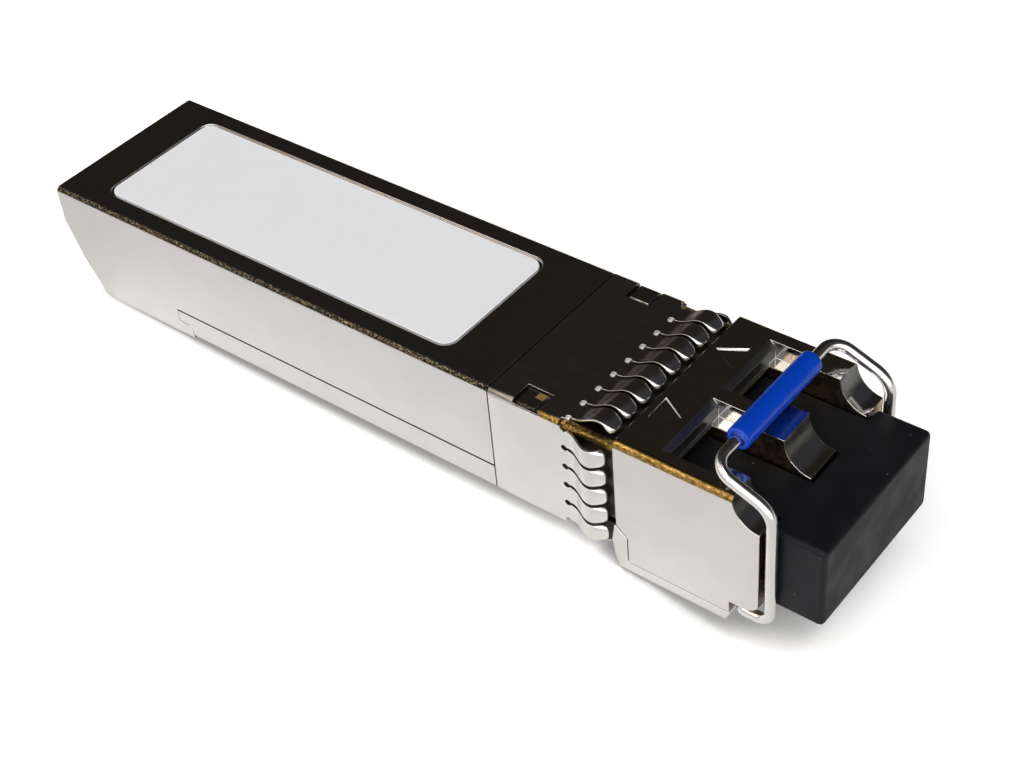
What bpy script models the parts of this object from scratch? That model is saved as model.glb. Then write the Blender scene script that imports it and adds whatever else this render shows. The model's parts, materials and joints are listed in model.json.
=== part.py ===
"""Pluggable optical transceiver module with a duplex LC nose, a wire bail latch and a dust plug.

Frame: +Z up, +Y towards the card edge, -Y towards the optical ports, X across the width.
The origin is on the underside of the base, on the centre line, 15 mm behind the collar's seam.
Lengths below are millimetres, measured from the seam between the rear cover and the collar (y)
and from the underside of the rear body (z). They become metres in the helpers.
"""

import math

import bmesh
import bpy
from mathutils import Matrix, Vector

MM = 0.001
SEAM_Y = -15.0  # the collar's seam, measured from the frame's origin
GAP = 0.05  # running and stacking clearance between separate pieces
SAME_HEIGHT = 0.005  # heights closer than this count as one when an edge is picked

# Rear body, which enters the cage
HALF_WIDTH = 6.7
HEIGHT = 8.5
REAR_Y = 38.8
WALL = 0.9
TOP_WALL = 1.2
SIDE_SEAM_Z = 2.04
CARD_MOUTH_Z = 5.6
CARD_MOUTH_HALF = 5.0
EDGE_ROUND = 0.4

# Rear end of the base, where its side steps up to the cover's belly, as (y, z) seen from the side
STEP_FOOT = (27.05, 0.66)
STEP_RAMP = (27.3, 1.02)
STEP_END = (28.28, 1.12)
BELLY_Y = 35.0
BELLY_RADIUS = 1.8
TAIL_LOW = (37.6, 2.55)
TAIL_END_Z = 5.67

# Neck that the collar wraps
COLLAR_THICK = 0.15
NECK_HALF = HALF_WIDTH - COLLAR_THICK - GAP
NECK_LOW = COLLAR_THICK + GAP
NECK_HIGH = HEIGHT - COLLAR_THICK - GAP
NECK_FRONT_Y = -9.35
NECK_SEAM_Z = 2.3
NECK_SPLIT_Y = -5.0
NECK_ROUND = 0.2

# Nose
NOSE_HALF = 6.85
NOSE_TOP = 9.03
NOSE_LOW = -1.35
NOSE_FRONT_Y = -19.25
NOSE_FLOOR_LOW = 0.45
NOSE_ROUND = 0.4
NOSE_INSIDE = 5.95
NOSE_CHIN = ((-18.5, NOSE_FLOOR_LOW), (-18.95, 0.72), (NOSE_FRONT_Y, 1.05))
EAR_ARC_CENTRE = (NOSE_FRONT_Y - 0.1, 8.95)
EAR_ARC_RADIUS = 1.92
LEDGE_DEPTH = 1.25  # from the nose's top down to the ledges of the wide latch slots
ARROW_HALF = 0.98
ARROW_DEPTH = 0.12
ARROW_Y = (-9.78, -11.5)
ARROW_X = (-2.95, 3.35)

# Seam between the nose and the base's flange, as (y, z) seen from the side
FLANGE_BACK = ((-9.5, NOSE_LOW), (-9.2, -0.3), (-9.0, 0.9))
SEAM_TOP = (-9.22, 2.2)
SEAM_TURN = (-10.12, 1.48)
SEAM_FOOT_Z = -0.42
FLANGE_TOP_Z = -0.51
FLANGE_FRONT = ((-17.3, FLANGE_TOP_Z), (-17.0, NOSE_LOW))

# Optical ports
PORT_PITCH = 6.25
PORT_HALF = 2.4
PORT_LOW = 1.6
PORT_HIGH = 6.6
PORT_WALL_Y = -11.6
CHAMBER_Y = -10.4  # the optical chamber behind the port wall
OPTICAL_Z = 4.1
LATCH_WIDE_HALF = 2.6
LATCH_WIDE_REAR_Y = -12.45
LATCH_WIDE_FRONT_Y = -15.2
LATCH_NARROW_HALF = 1.72
LATCH_BEVEL = 0.38
CHAMBER_HALF = 5.6
CHAMBER_TOP = 7.45

# Collar fingers
FINGER_PITCH = 1.525
SLOT_ROOT_Y = -5.45
FINGER_TIP_Y = -8.8
HUMP_START_Y = -6.0
HUMP_PEAK_Y = -7.75
FINGER_RISE = 0.72
TIP_DROP = 0.5
TIP_WIDENING = (0.35, 0.17)  # length of the wider end of a slot, and how much wider on each side
SLOT_HALF = 0.13
SLOT_NECK_HALF = 0.07
ROOT_RADIUS = 0.22
COLLAR_CORNER = 0.35
COLLAR_CORNER_Y = -5.3
WINDOW_X = 4.9
WINDOW_DROP = 0.05
WINDOW_Y = (-3.8, -1.9)
LOCK_HALF = 0.7

# Label
LABEL_HALF = 4.95
LABEL_Y = (4.4, 35.2)
LABEL_THICK = 0.1
RECESS_MARGIN = 0.2
RECESS_DEPTH = 0.15
LABEL_GLUE = 0.02

# Bail
BAIL_PIVOT = (-17.78, 0.0)
WIRE_RADIUS = 0.36
ARM_X = 6.5
HANDLE_DY = 1.83
HANDLE_DZ = 10.42
SHOULDER_DZ = 8.9
ARM_FORWARD = 2.07
CRANK_SHOULDER = 2.4
CRANK_OFFSET = 0.85
CRANK_HALF = 1.55
SLEEVE_RADIUS = 0.76
SLEEVE_HALF = 4.0

# Latch rocker
ROCKER_PIVOT = (-13.4, -0.55)
ROCKER_HALF = 1.2
ROCKER_HUB_RADIUS = 0.72
ROCKER_LOW = -1.21
ROCKER_HIGH = -0.66
ROCKER_FRONT_Y = -18.7
BOSS_Y = (-9.55, -7.85)
BOSS_LOW = -1.3
BOSS_HIGH = 0.2
PIN_RADIUS = 0.35
PIN_HALF = 5.5
SADDLE_LIP = (2.9, 5.9)  # from and to, across each half of the width
POCKET_HALF = 1.45
POCKET_END_Y = -7.4
CRANK_ROOM = 2.65
SADDLE_FRONT_Y = -18.45
SPRING_Y = -11.0
SPRING_WIRE = 0.09
SPRING_COIL = 0.42
SPRING_TURNS = 3.5

# Dust plug
PLUG_HALF = 6.0
PLUG_FRONT_Y = -22.97
PLUG_REAR_Y = NOSE_FRONT_Y - 2 * GAP
PLUG_LOW = 0.95
PLUG_HIGH = 6.96
PLUG_LEG_END_Y = -12.0
PLUG_SLIDE = 0.1  # clearance of the legs and ridges in the ports and slots
PLUG_BORE_END_Y = -16.5

# Circuit board
BOARD_LOW = 2.25
BOARD_THICK = 1.0
BOARD_HALF = 5.5
CARD_HALF = 4.6
CARD_END_Y = 37.4
CARD_CHAMFER = 0.3
CONTACT_COUNT = 10
CONTACT_PITCH = 0.8
SCREW_X = 4.75
SCREW_Y = 3.4
SCREW_SHANK = 0.4
SCREW_HEAD = 0.85
SCREW_HEAD_TOP = 0.37
SCREW_END_Z = 4.1
SCREW_BOSS = 1.0
BOARD_REST_X = 5.25
BOARD_REST_Y = (10.0, 22.0)
BAR_Y = (34.1, 34.4)
CONTACT_HALF = 0.28
CONTACT_END_Y = (36.9, 36.5)  # of the ground contacts and of the signal contacts
CHIP_BOTTOM = BOARD_LOW + BOARD_THICK + GAP
DRIVER_Y = 9.5
DRIVER_HIGH = 0.85
PEDESTAL_LOW = 5.2

# Optical sub-assemblies, as (radius, y from, y to) along the optical axis
CAN_HEADER = (2.3, -6.3, -5.1)
CAN_CAP = (1.85, -7.9, -6.2)
BARREL_FLANGE = (2.25, -10.3, -8.25)
BARREL_NOSE = (1.45, -15.2, -10.2)
BARREL_BORE = 0.86
FERRULE_SLEEVE = (0.8, 0.64)
FLEX_THICK = 0.12
FLEX_BEND = 0.45
FLEX_HALF = 1.6
FLEX_END_Y = -0.6
FLEX_TOP = 5.3


def clear_scene():
    for leftover in list(bpy.data.objects):
        bpy.data.objects.remove(leftover, do_unlink=True)


def material(name, colour, roughness, metallic):
    made = bpy.data.materials.new(name)
    made.use_nodes = True
    shader = made.node_tree.nodes["Principled BSDF"]
    shader.inputs["Base Color"].default_value = (*colour, 1.0)
    shader.inputs["Roughness"].default_value = roughness
    shader.inputs["Metallic"].default_value = metallic
    return made


def empty(name, place, parent=None):
    made = bpy.data.objects.new(name, None)
    bpy.context.scene.collection.objects.link(made)
    made.location = Vector(place) * MM
    made.parent = parent
    return made


def add_object(name, mesh_builder, parent, place=(0, 0, 0)):
    """Links a mesh object whose builder is in millimetres about the object's own origin."""
    mesh = bpy.data.meshes.new(name)
    bmesh.ops.recalc_face_normals(mesh_builder, faces=mesh_builder.faces)
    bmesh.ops.scale(mesh_builder, vec=(MM, MM, MM), verts=mesh_builder.verts)
    mesh_builder.to_mesh(mesh)
    mesh_builder.free()
    made = bpy.data.objects.new(name, mesh)
    bpy.context.scene.collection.objects.link(made)
    made.parent = parent
    made.location = Vector(place) * MM
    return made


def shade_round(made, degrees=35):
    made.data.shade_smooth()
    made.data.set_sharp_from_angle(angle=math.radians(degrees))


def prism(outline, axis, low, high):
    """A closed prism. The outline's pairs are the two remaining coordinates in X, Y, Z order."""
    shape = bmesh.new()
    bottom = []
    for first, second in outline:
        point = [first, second]
        point.insert("xyz".index(axis), low)
        bottom.append(shape.verts.new(point))
    face = shape.faces.new(bottom)
    shift = [0, 0, 0]
    shift["xyz".index(axis)] = high - low
    grown = bmesh.ops.extrude_face_region(shape, geom=[face])
    moved = [item for item in grown["geom"] if isinstance(item, bmesh.types.BMVert)]
    bmesh.ops.translate(shape, vec=shift, verts=moved)
    return shape


def box(x, y, z):
    return prism([(x[0], y[0]), (x[1], y[0]), (x[1], y[1]), (x[0], y[1])], "z", *z)


def rounded_outline(first, second, radius, steps=5):
    """A rectangle with rounded corners, given as (low, high) along each of its two directions."""
    outline = []
    corners = (
        (first[1] - radius, second[1] - radius, 0),
        (first[0] + radius, second[1] - radius, 90),
        (first[0] + radius, second[0] + radius, 180),
        (first[1] - radius, second[0] + radius, 270),
    )
    for centre_a, centre_b, start in corners:
        for step in range(steps + 1):
            angle = math.radians(start + 90 * step / steps)
            outline.append(
                (centre_a + radius * math.cos(angle), centre_b + radius * math.sin(angle))
            )
    return outline


def arc(centre, radius, start, end, steps):
    """Points of an arc, from the start angle to the end angle in degrees."""
    points = []
    for step in range(steps + 1):
        angle = math.radians(start + (end - start) * step / steps)
        points.append(
            (centre[0] + radius * math.cos(angle), centre[1] + radius * math.sin(angle))
        )
    return points


def cylinder(radius, axis, centre, low, high, sides=40):
    """A closed cylinder along an axis. The centre's pair is as in prism."""
    outline = arc(centre, radius, 0, 360, sides)[:-1]
    return prism(outline, axis, low, high)


def combine(target, operation, shapes):
    """Joins or cuts the target with each shape, through hidden helper objects."""
    for number, shape in enumerate(shapes):
        helper = add_object(f"{target.name}_{operation.lower()}_{number}", shape, target.parent)
        helper.location = target.location
        helper.hide_render = True
        helper.display_type = "WIRE"
        step = target.modifiers.new(f"{operation.lower()} {number}", "BOOLEAN")
        step.operation = operation
        step.object = helper


def cut(target, *shapes):
    combine(target, "DIFFERENCE", shapes)


def join(target, *shapes):
    combine(target, "UNION", shapes)


def soften(shape, width, segments=2, test=None):
    """Bevels the sharp edges of a shape that pass the test, which is given each edge."""
    edges = [edge for edge in shape.edges if edge.calc_face_angle(0) > math.radians(50)]
    if test:
        edges = [edge for edge in edges if test(edge)]
    bmesh.ops.bevel(
        shape, geom=edges, offset=width, segments=segments, profile=0.5, affect="EDGES"
    )
    return shape


def runs_along(axis, high=None):
    """An edge test: parallel to the axis and, if a height is given, at that height."""
    index = "xyz".index(axis)

    def test(edge):
        start, end = (vert.co for vert in edge.verts)
        along = abs(end[index] - start[index]) > 0.999 * (end - start).length
        return along and (high is None or abs(start.z - high) < SAME_HEIGHT)

    return test


def tube(path, radius, closed=True, sides=12):
    """A round bar swept along a smooth path with a frame that doesn't twist."""
    shape = bmesh.new()
    count = len(path)
    points = [Vector(point) for point in path]
    rings = []
    side = Vector((0, 0, 1))
    for number, point in enumerate(points):
        if closed:
            along = points[(number + 1) % count] - points[number - 1]
        else:
            along = points[min(number + 1, count - 1)] - points[max(number - 1, 0)]
        along.normalize()
        if number == 0:
            side = along.orthogonal().normalized()
        side = (side - along * side.dot(along)).normalized()
        other = along.cross(side)
        ring = []
        for step in range(sides):
            angle = 2 * math.pi * step / sides
            offset = side * math.cos(angle) + other * math.sin(angle)
            ring.append(shape.verts.new(point + offset * radius))
        rings.append(ring)
    for number in range(count - 1):
        bridge(shape, rings[number], rings[number + 1])
    if closed:
        bridge(shape, rings[-1], nearest_turn(rings[-1], rings[0]))
    else:
        shape.faces.new(rings[0])
        shape.faces.new(rings[-1])
    return shape


def bridge(shape, ring, following):
    for step in range(len(ring)):
        after = (step + 1) % len(ring)
        shape.faces.new((ring[step], ring[after], following[after], following[step]))


def nearest_turn(ring, following):
    """Turns the list of a ring's points so that each is nearest to its neighbour's."""
    turns = range(len(ring))

    def distance(turn):
        return sum(
            (ring[step].co - following[(step + turn) % len(ring)].co).length for step in turns
        )

    best = min(turns, key=distance)
    return following[best:] + following[:best]


def filleted(corners, radii, closed=True, steps=5):
    """Rounds the corners of a path of straight runs. Each corner has its own radius."""
    path = []
    count = len(corners)
    for number, corner in enumerate(corners):
        here = Vector(corner)
        if not closed and number in (0, count - 1):
            path.append(here)
            continue
        back = (Vector(corners[number - 1]) - here).normalized()
        ahead = (Vector(corners[(number + 1) % count]) - here).normalized()
        half = back.angle(ahead) / 2
        radius = radii[number]
        reach = radius / math.tan(half)
        centre = here + (back + ahead).normalized() * radius / math.sin(half)
        start = (here + back * reach - centre).normalized()
        end = (here + ahead * reach - centre).normalized()
        for step in range(steps + 1):
            path.append(centre + start.slerp(end, step / steps) * radius)
    return path


# Casings


def make_base(parent, metal):
    """The lower casting: a tub behind, a slotted block under the nose and saddles for the wire."""
    inside = HALF_WIDTH - WALL
    block_half = NOSE_INSIDE - GAP
    rear_side = [
        (GAP, 0.0),
        (STEP_FOOT[0], 0.0),
        STEP_FOOT,
        STEP_RAMP,
        STEP_END,
        (STEP_END[0], SIDE_SEAM_Z),
        (GAP, SIDE_SEAM_Z),
    ]
    tub = prism(rear_side, "x", -HALF_WIDTH, HALF_WIDTH)
    base = add_object("base_shell", soften(tub, EDGE_ROUND, 3, runs_along("y", 0.0)), parent)
    base.data.materials.append(metal)
    flange_side = [
        *FLANGE_BACK,
        SEAM_TOP,
        SEAM_TURN,
        (SEAM_TURN[0], SEAM_FOOT_Z),
        (SEAM_TURN[0] - 0.13, FLANGE_TOP_Z),
        *FLANGE_FRONT,
    ]
    flange = prism(flange_side, "x", -NOSE_HALF, NOSE_HALF)
    join(base, soften(flange, 0.25, 2, runs_along("y", NOSE_LOW)))
    cut(base, box((-NOSE_INSIDE, NOSE_INSIDE), (-11, -8.5), (-0.6, 3)))
    neck = box((-NECK_HALF, NECK_HALF), (-9.2, 1.0), (NECK_LOW, SIDE_SEAM_Z - 0.1))
    block = box((-block_half, block_half), (-17.2, -8.9), (-1.2, NOSE_FLOOR_LOW - GAP))
    lips = [
        box(span, (SADDLE_FRONT_Y, FLANGE_FRONT[1][0]), (-0.95, -GAP))
        for span in (SADDLE_LIP, (-SADDLE_LIP[1], -SADDLE_LIP[0]))
    ]
    join(base, soften(neck, NECK_ROUND, 2, runs_along("y", NECK_LOW)), block, *lips)
    cut(
        base,
        box((-inside, inside), (-9.6, 30), (WALL, 3)),
        box((-POCKET_HALF, POCKET_HALF), (-19, POCKET_END_Y), (-2, 3)),
        box((-CRANK_ROOM, CRANK_ROOM), (-19, -16.4), (-2, 3)),
        cylinder(WIRE_RADIUS + GAP, "x", BAIL_PIVOT, -6.0, 6.0, 24),
        cylinder(PIN_RADIUS + GAP, "x", ROCKER_PIVOT, -NOSE_INSIDE, NOSE_INSIDE, 24),
    )
    rest_z = (WALL - 0.2, BOARD_LOW - GAP)
    for y in BOARD_REST_Y:
        for x in (-BOARD_REST_X, BOARD_REST_X):
            join(base, box((x - 0.45, x + 0.45), (y - 1, y + 1), rest_z))
    for x in (-SCREW_X, SCREW_X):
        cut(
            base,
            cylinder(SCREW_SHANK + 2 * GAP, "z", (x, SCREW_Y), -1, 2, 20),
            cylinder(SCREW_HEAD + GAP, "z", (x, SCREW_Y), -1, SCREW_HEAD_TOP + GAP, 24),
        )
    return base


def make_rear_cover(parent, metal):
    """The upper casting of the rear body, open underneath, with the card edge's mouth behind."""
    inside = HALF_WIDTH - WALL
    step = [(y + GAP, z - GAP) for y, z in (STEP_END, STEP_RAMP, STEP_FOOT)]
    side = [
        (GAP, HEIGHT),
        (GAP, SIDE_SEAM_Z + GAP),
        (STEP_END[0] + GAP, SIDE_SEAM_Z + GAP),
        *step,
        (STEP_FOOT[0] + GAP, 0.0),
        *arc((BELLY_Y, BELLY_RADIUS), BELLY_RADIUS, -90, -33, 5),
        TAIL_LOW,
        (REAR_Y, TAIL_END_Z),
        (REAR_Y, HEIGHT),
    ]
    block = prism(side, "x", -HALF_WIDTH, HALF_WIDTH)
    cover = add_object("rear_cover", soften(block, EDGE_ROUND, 3, runs_along("y", HEIGHT)), parent)
    cover.data.materials.append(metal)
    tongue = box((-NECK_HALF, NECK_HALF), (NECK_SPLIT_Y + GAP, 1), (NECK_SEAM_Z, NECK_HIGH))
    join(cover, soften(tongue, NECK_ROUND, 2, runs_along("y", NECK_HIGH)))
    cut(
        cover,
        box((-inside, inside), (-6, 33), (-1, HEIGHT - TOP_WALL)),
        box((-CARD_MOUTH_HALF, CARD_MOUTH_HALF), (32, 40), (-1, CARD_MOUTH_Z)),
        prism(rounded_outline((-LABEL_HALF - RECESS_MARGIN, LABEL_HALF + RECESS_MARGIN),
                              (LABEL_Y[0] - RECESS_MARGIN, LABEL_Y[1] + RECESS_MARGIN), 1.0),
              "z", HEIGHT - RECESS_DEPTH, HEIGHT + 1),
    )
    inner_top = HEIGHT - TOP_WALL + 0.3
    window_middle = (WINDOW_Y[0] + WINDOW_Y[1]) / 2
    locks = [
        box(span, (window_middle - LOCK_HALF, window_middle + LOCK_HALF), (7.5, HEIGHT - 0.08))
        for span in ((-NECK_HALF, -WINDOW_X - 0.25), (WINDOW_X + 0.25, NECK_HALF))
    ]
    pedestal = box((-3, 3), (DRIVER_Y - 3, DRIVER_Y + 3), (PEDESTAL_LOW, inner_top))
    bosses = [
        cylinder(SCREW_BOSS, "z", (x, SCREW_Y), WALL + GAP, inner_top, 20)
        for x in (-SCREW_X, SCREW_X)
    ]
    join(cover, *bosses, *locks, pedestal)
    for x in (-SCREW_X, SCREW_X):
        cut(cover, cylinder(SCREW_SHANK + GAP, "z", (x, SCREW_Y), 0, SCREW_END_Z + 0.2, 20))
    return cover


def nose_side_outline():
    return [
        (NECK_FRONT_Y, NOSE_TOP),
        (NECK_FRONT_Y, SEAM_TOP[1] + 0.08),
        (SEAM_TURN[0] - GAP, SEAM_TURN[1] + 0.08),
        (SEAM_TURN[0] - GAP, SEAM_FOOT_Z),
        (SEAM_TURN[0] - 0.18, FLANGE_TOP_Z + GAP),
        (FLANGE_FRONT[0][0], FLANGE_TOP_Z + GAP),
        (FLANGE_FRONT[0][0], NOSE_FLOOR_LOW),
        *NOSE_CHIN,
        *arc(EAR_ARC_CENTRE, EAR_ARC_RADIUS, -87, 2.4, 8),
    ]


def port_centres():
    return (-PORT_PITCH / 2, PORT_PITCH / 2)


def latch_slot(centre):
    """The T-shaped slot in a port's roof: wide behind for the latch shoulders, narrow in front."""
    roof_low = NOSE_TOP - LEDGE_DEPTH
    above = NOSE_TOP + 1
    rear = LATCH_WIDE_REAR_Y
    wide = [
        (LATCH_WIDE_FRONT_Y, roof_low),
        (rear, roof_low),
        (rear, NOSE_TOP - LATCH_BEVEL),
        (rear + LATCH_BEVEL, NOSE_TOP),
        (rear + LATCH_BEVEL, above),
        (LATCH_WIDE_FRONT_Y, above),
    ]
    narrow = [
        (NOSE_FRONT_Y - 1, PORT_HIGH - 0.5),
        (PORT_WALL_Y - 0.15, PORT_HIGH - 0.5),
        (PORT_WALL_Y - 0.15, roof_low - 0.1),
        (rear - 0.15, roof_low - 0.1),
        (rear - 0.15, above),
        (NOSE_FRONT_Y - 1, above),
    ]
    return (
        prism(wide, "x", centre - LATCH_WIDE_HALF, centre + LATCH_WIDE_HALF),
        prism(narrow, "x", centre - LATCH_NARROW_HALF, centre + LATCH_NARROW_HALF),
    )


def direction_arrow(centre, base_y, tip_y):
    corners = [(centre - ARROW_HALF, base_y), (centre, tip_y), (centre + ARROW_HALF, base_y)]
    return prism(corners, "z", NOSE_TOP - ARROW_DEPTH, NOSE_TOP + 1)


def make_nose(parent, metal):
    """The optical nose: two ports side by side behind an arched front, with a neck for the collar."""
    block = prism(nose_side_outline(), "x", -NOSE_HALF, NOSE_HALF)
    nose = add_object("nose_shell", soften(block, NOSE_ROUND, 3, runs_along("y", NOSE_TOP)), parent)
    nose.data.materials.append(metal)
    neck = box((-NECK_HALF, NECK_HALF), (-9.8, NECK_SPLIT_Y - GAP), (NECK_SEAM_Z + GAP, NECK_HIGH))
    join(nose, soften(neck, NECK_ROUND, 2, runs_along("y", NECK_HIGH)))
    cut(
        nose,
        box((-NOSE_INSIDE, NOSE_INSIDE), (-17.7, -9), (-2, NOSE_FLOOR_LOW + 0.1)),
        box((-CHAMBER_HALF, CHAMBER_HALF), (CHAMBER_Y, -4), (-2, CHAMBER_TOP)),
    )
    for centre in port_centres():
        low, high = centre - PORT_HALF, centre + PORT_HALF
        cut(
            nose,
            box((low, high), (-20, PORT_WALL_Y), (PORT_LOW, PORT_HIGH)),
            cylinder(BARREL_NOSE[0] + GAP, "y", (centre, OPTICAL_Z), -12, -10, 32),
            *latch_slot(centre),
        )
    cut(nose, direction_arrow(ARROW_X[0], *ARROW_Y), direction_arrow(ARROW_X[1], *ARROW_Y[::-1]))
    return nose


# Collar


def collar_point(along, lift):
    """A point of the collar's outer outline, from the top centre clockwise, lifted outwards."""
    turn = math.pi / 2 * COLLAR_CORNER
    flat = HALF_WIDTH - COLLAR_CORNER
    side = HEIGHT - 2 * COLLAR_CORNER
    if along < 0:
        x, z, normal_x, normal_z = collar_point(-along, lift)
        return -x, z, -normal_x, normal_z
    middle = HEIGHT / 2
    if along <= flat:
        place, normal = (along, HEIGHT), (0, 1)
    elif along <= flat + turn:
        angle = (along - flat) / COLLAR_CORNER
        normal = (math.sin(angle), math.cos(angle))
        place = (flat + COLLAR_CORNER * normal[0], HEIGHT - COLLAR_CORNER * (1 - normal[1]))
    elif along <= flat + turn + side / 2:
        place, normal = (HALF_WIDTH, HEIGHT - COLLAR_CORNER - (along - flat - turn)), (1, 0)
    else:
        mirrored = 2 * (flat + turn + side / 2) - along
        x, z, normal_x, normal_z = collar_point(mirrored, 0)
        place, normal = (x, 2 * middle - z), (normal_x, -normal_z)
    x = place[0] + normal[0] * lift
    z = place[1] + normal[1] * lift
    return x, z, normal[0], normal[1]


def finger_lift(y):
    """How far a finger stands out from the flat sheet at a given distance along the module."""
    if y > HUMP_START_Y:
        return 0.0
    if y > HUMP_PEAK_Y:
        part = (HUMP_START_Y - y) / (HUMP_START_Y - HUMP_PEAK_Y)
        return FINGER_RISE * part * part * (3 - 2 * part)
    part = (HUMP_PEAK_Y - y) / (HUMP_PEAK_Y - FINGER_TIP_Y)
    return FINGER_RISE - TIP_DROP * part * part


def slot_half_width(y):
    """Half of a slot's width: a round root, a straight run, and wider at the rounded tips."""
    length, widening = TIP_WIDENING
    from_centre = abs(y - (SLOT_ROOT_Y - ROOT_RADIUS))
    if from_centre <= ROOT_RADIUS:
        return max(SLOT_NECK_HALF, math.sqrt(ROOT_RADIUS**2 - from_centre**2))
    if y < FINGER_TIP_Y + length:
        return SLOT_HALF + widening * ((FINGER_TIP_Y + length - y) / length) ** 2
    return SLOT_HALF


def collar_columns():
    """The collar's columns, once round, and the kind of stretch that follows each of them.

    A column is (distance, side of its slot); a stretch is a finger, a slot, a corner or the boss.
    """
    turn = math.pi / 2 * COLLAR_CORNER
    flat = HALF_WIDTH - COLLAR_CORNER
    side = HEIGHT - 2 * COLLAR_CORNER
    middle = flat + turn + side / 2
    columns = [(0.0, 1)]
    kinds = []

    def walk(kind, distance, slot_side=0):
        kinds.append(kind)
        columns.append((distance, slot_side))

    def walk_slot(kind_before, distance):
        walk(kind_before, distance, -1)
        walk("slot", distance, 1)

    for number in (1, 2, 3):
        walk_slot("finger", number * FINGER_PITCH)
    walk("finger", WINDOW_X)
    walk_slot("finger", 4 * FINGER_PITCH)
    for part in range(4):
        walk("corner", flat + turn * part / 3)
    walk("corner", flat + turn + WINDOW_DROP)
    for number in range(6):
        walk_slot("finger" if number else "corner", middle + (number - 2.5) * FINGER_PITCH)
    for part in range(4):
        walk("corner", flat + turn + side + turn * part / 3)
    for number in (4, 3, 2, 1):
        walk_slot("corner" if number == 4 else "finger", 2 * middle - number * FINGER_PITCH)
    mirrored = [(-distance, -slot_side) for distance, slot_side in reversed(columns)]
    return columns + mirrored, kinds + ["boss"] + kinds[::-1] + ["slot"]


def make_collar(parent, metal):
    """One sheet folded round the neck, slit into sprung fingers at its front edge."""
    rows = [-GAP, WINDOW_Y[1], WINDOW_Y[0], COLLAR_CORNER_Y, SLOT_ROOT_Y]
    rows += [
        SLOT_ROOT_Y - ROOT_RADIUS * (1 - math.cos(math.radians(step * 45))) for step in (1, 2, 3)
    ]
    rise = HUMP_PEAK_Y - HUMP_START_Y
    rows += [HUMP_START_Y + rise * share for share in (0, 0.29, 0.57, 0.8, 1)]
    rows += [-8.2, FINGER_TIP_Y + 0.25, FINGER_TIP_Y]
    columns, kinds = collar_columns()
    window_end = HALF_WIDTH - COLLAR_CORNER + math.pi / 2 * COLLAR_CORNER + WINDOW_DROP
    sheet = bmesh.new()
    made = {}

    def corner(row, number, inner):
        number %= len(columns)
        if (row, number, inner) not in made:
            y = rows[row]
            distance, slot_side = columns[number]
            width = slot_half_width(y) if y < SLOT_ROOT_Y else SLOT_HALF
            lift = finger_lift(y) - (COLLAR_THICK if inner else 0)
            x, z, _, _ = collar_point(distance + slot_side * width, lift)
            made[row, number, inner] = sheet.verts.new((x, y, z))
        return made[row, number, inner]

    def present(row, number):
        if not 0 <= row < len(rows) - 1:
            return False
        number %= len(columns)
        y = (rows[row] + rows[row + 1]) / 2
        reach = abs(columns[number][0] + columns[(number + 1) % len(columns)][0]) / 2
        if WINDOW_X < reach < window_end and WINDOW_Y[0] < y < WINDOW_Y[1]:
            return False
        ends = {"finger": -100, "slot": SLOT_ROOT_Y, "boss": SLOT_ROOT_Y, "corner": COLLAR_CORNER_Y}
        return y > ends[kinds[number]]

    for number in range(len(columns)):
        for row in range(len(rows) - 1):
            if present(row, number):
                add_sheet_cell(sheet, corner, present, row, number)
    collar = add_object("emi_collar", sheet, parent)
    collar.data.materials.append(metal)
    shade_round(collar, 30)
    return collar


def add_sheet_cell(sheet, corner, present, row, number):
    """Adds one cell's outer and inner faces, and a wall wherever its neighbour is missing."""
    cell = ((row, number), (row, number + 1), (row + 1, number + 1), (row + 1, number))
    outer = [corner(*place, False) for place in cell]
    inner = [corner(*place, True) for place in cell]
    sheet.faces.new(outer)
    sheet.faces.new(reversed(inner))
    neighbours = ((row - 1, number), (row, number + 1), (row + 1, number), (row, number - 1))
    for step, place in enumerate(neighbours):
        if not present(*place):
            after = (step + 1) % 4
            sheet.faces.new((outer[step], inner[step], inner[after], outer[after]))


# Board, chips and label


def make_label(parent, paper):
    outline = rounded_outline((-LABEL_HALF, LABEL_HALF), LABEL_Y, 0.9)
    low = HEIGHT - RECESS_DEPTH + LABEL_GLUE
    label = add_object("label", prism(outline, "z", low, low + LABEL_THICK), parent)
    label.data.materials.append(paper)
    return label


def make_board(parent, laminate):
    """The circuit board, narrowed to its card edge and notched round the screw bosses."""
    top = BOARD_LOW + BOARD_THICK
    outline = [
        (-BOARD_HALF, -3.0),
        (BOARD_HALF, -3.0),
        (BOARD_HALF, 30.0),
        (CARD_HALF, 30.9),
        (CARD_HALF, CARD_END_Y - CARD_CHAMFER),
        (CARD_HALF - CARD_CHAMFER, CARD_END_Y),
        (CARD_CHAMFER - CARD_HALF, CARD_END_Y),
        (-CARD_HALF, CARD_END_Y - CARD_CHAMFER),
        (-CARD_HALF, 30.9),
        (-BOARD_HALF, 30.0),
    ]
    board = add_object("circuit_board", prism(outline, "z", BOARD_LOW, top), parent)
    board.data.materials.append(laminate)
    notch = SCREW_BOSS + 0.3
    cut(board, *[cylinder(notch, "z", (x, SCREW_Y), 0, 5, 24) for x in (-SCREW_X, SCREW_X)])
    return board


def make_contacts(name, low, parent, gold):
    """Ten plated contacts joined at their inner ends by the plating bar."""
    bar_half = CONTACT_PITCH * (CONTACT_COUNT - 1) / 2 + CONTACT_HALF
    contacts = add_object(name, box((-bar_half, bar_half), BAR_Y, (low, low + GAP)), parent)
    contacts.data.materials.append(gold)
    for number in range(CONTACT_COUNT):
        x = (number - (CONTACT_COUNT - 1) / 2) * CONTACT_PITCH
        span = (BAR_Y[0] + 0.1, CONTACT_END_Y[number % 3 == 0])
        join(contacts, box((x - CONTACT_HALF, x + CONTACT_HALF), span, (low, low + GAP)))
    return contacts


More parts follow.
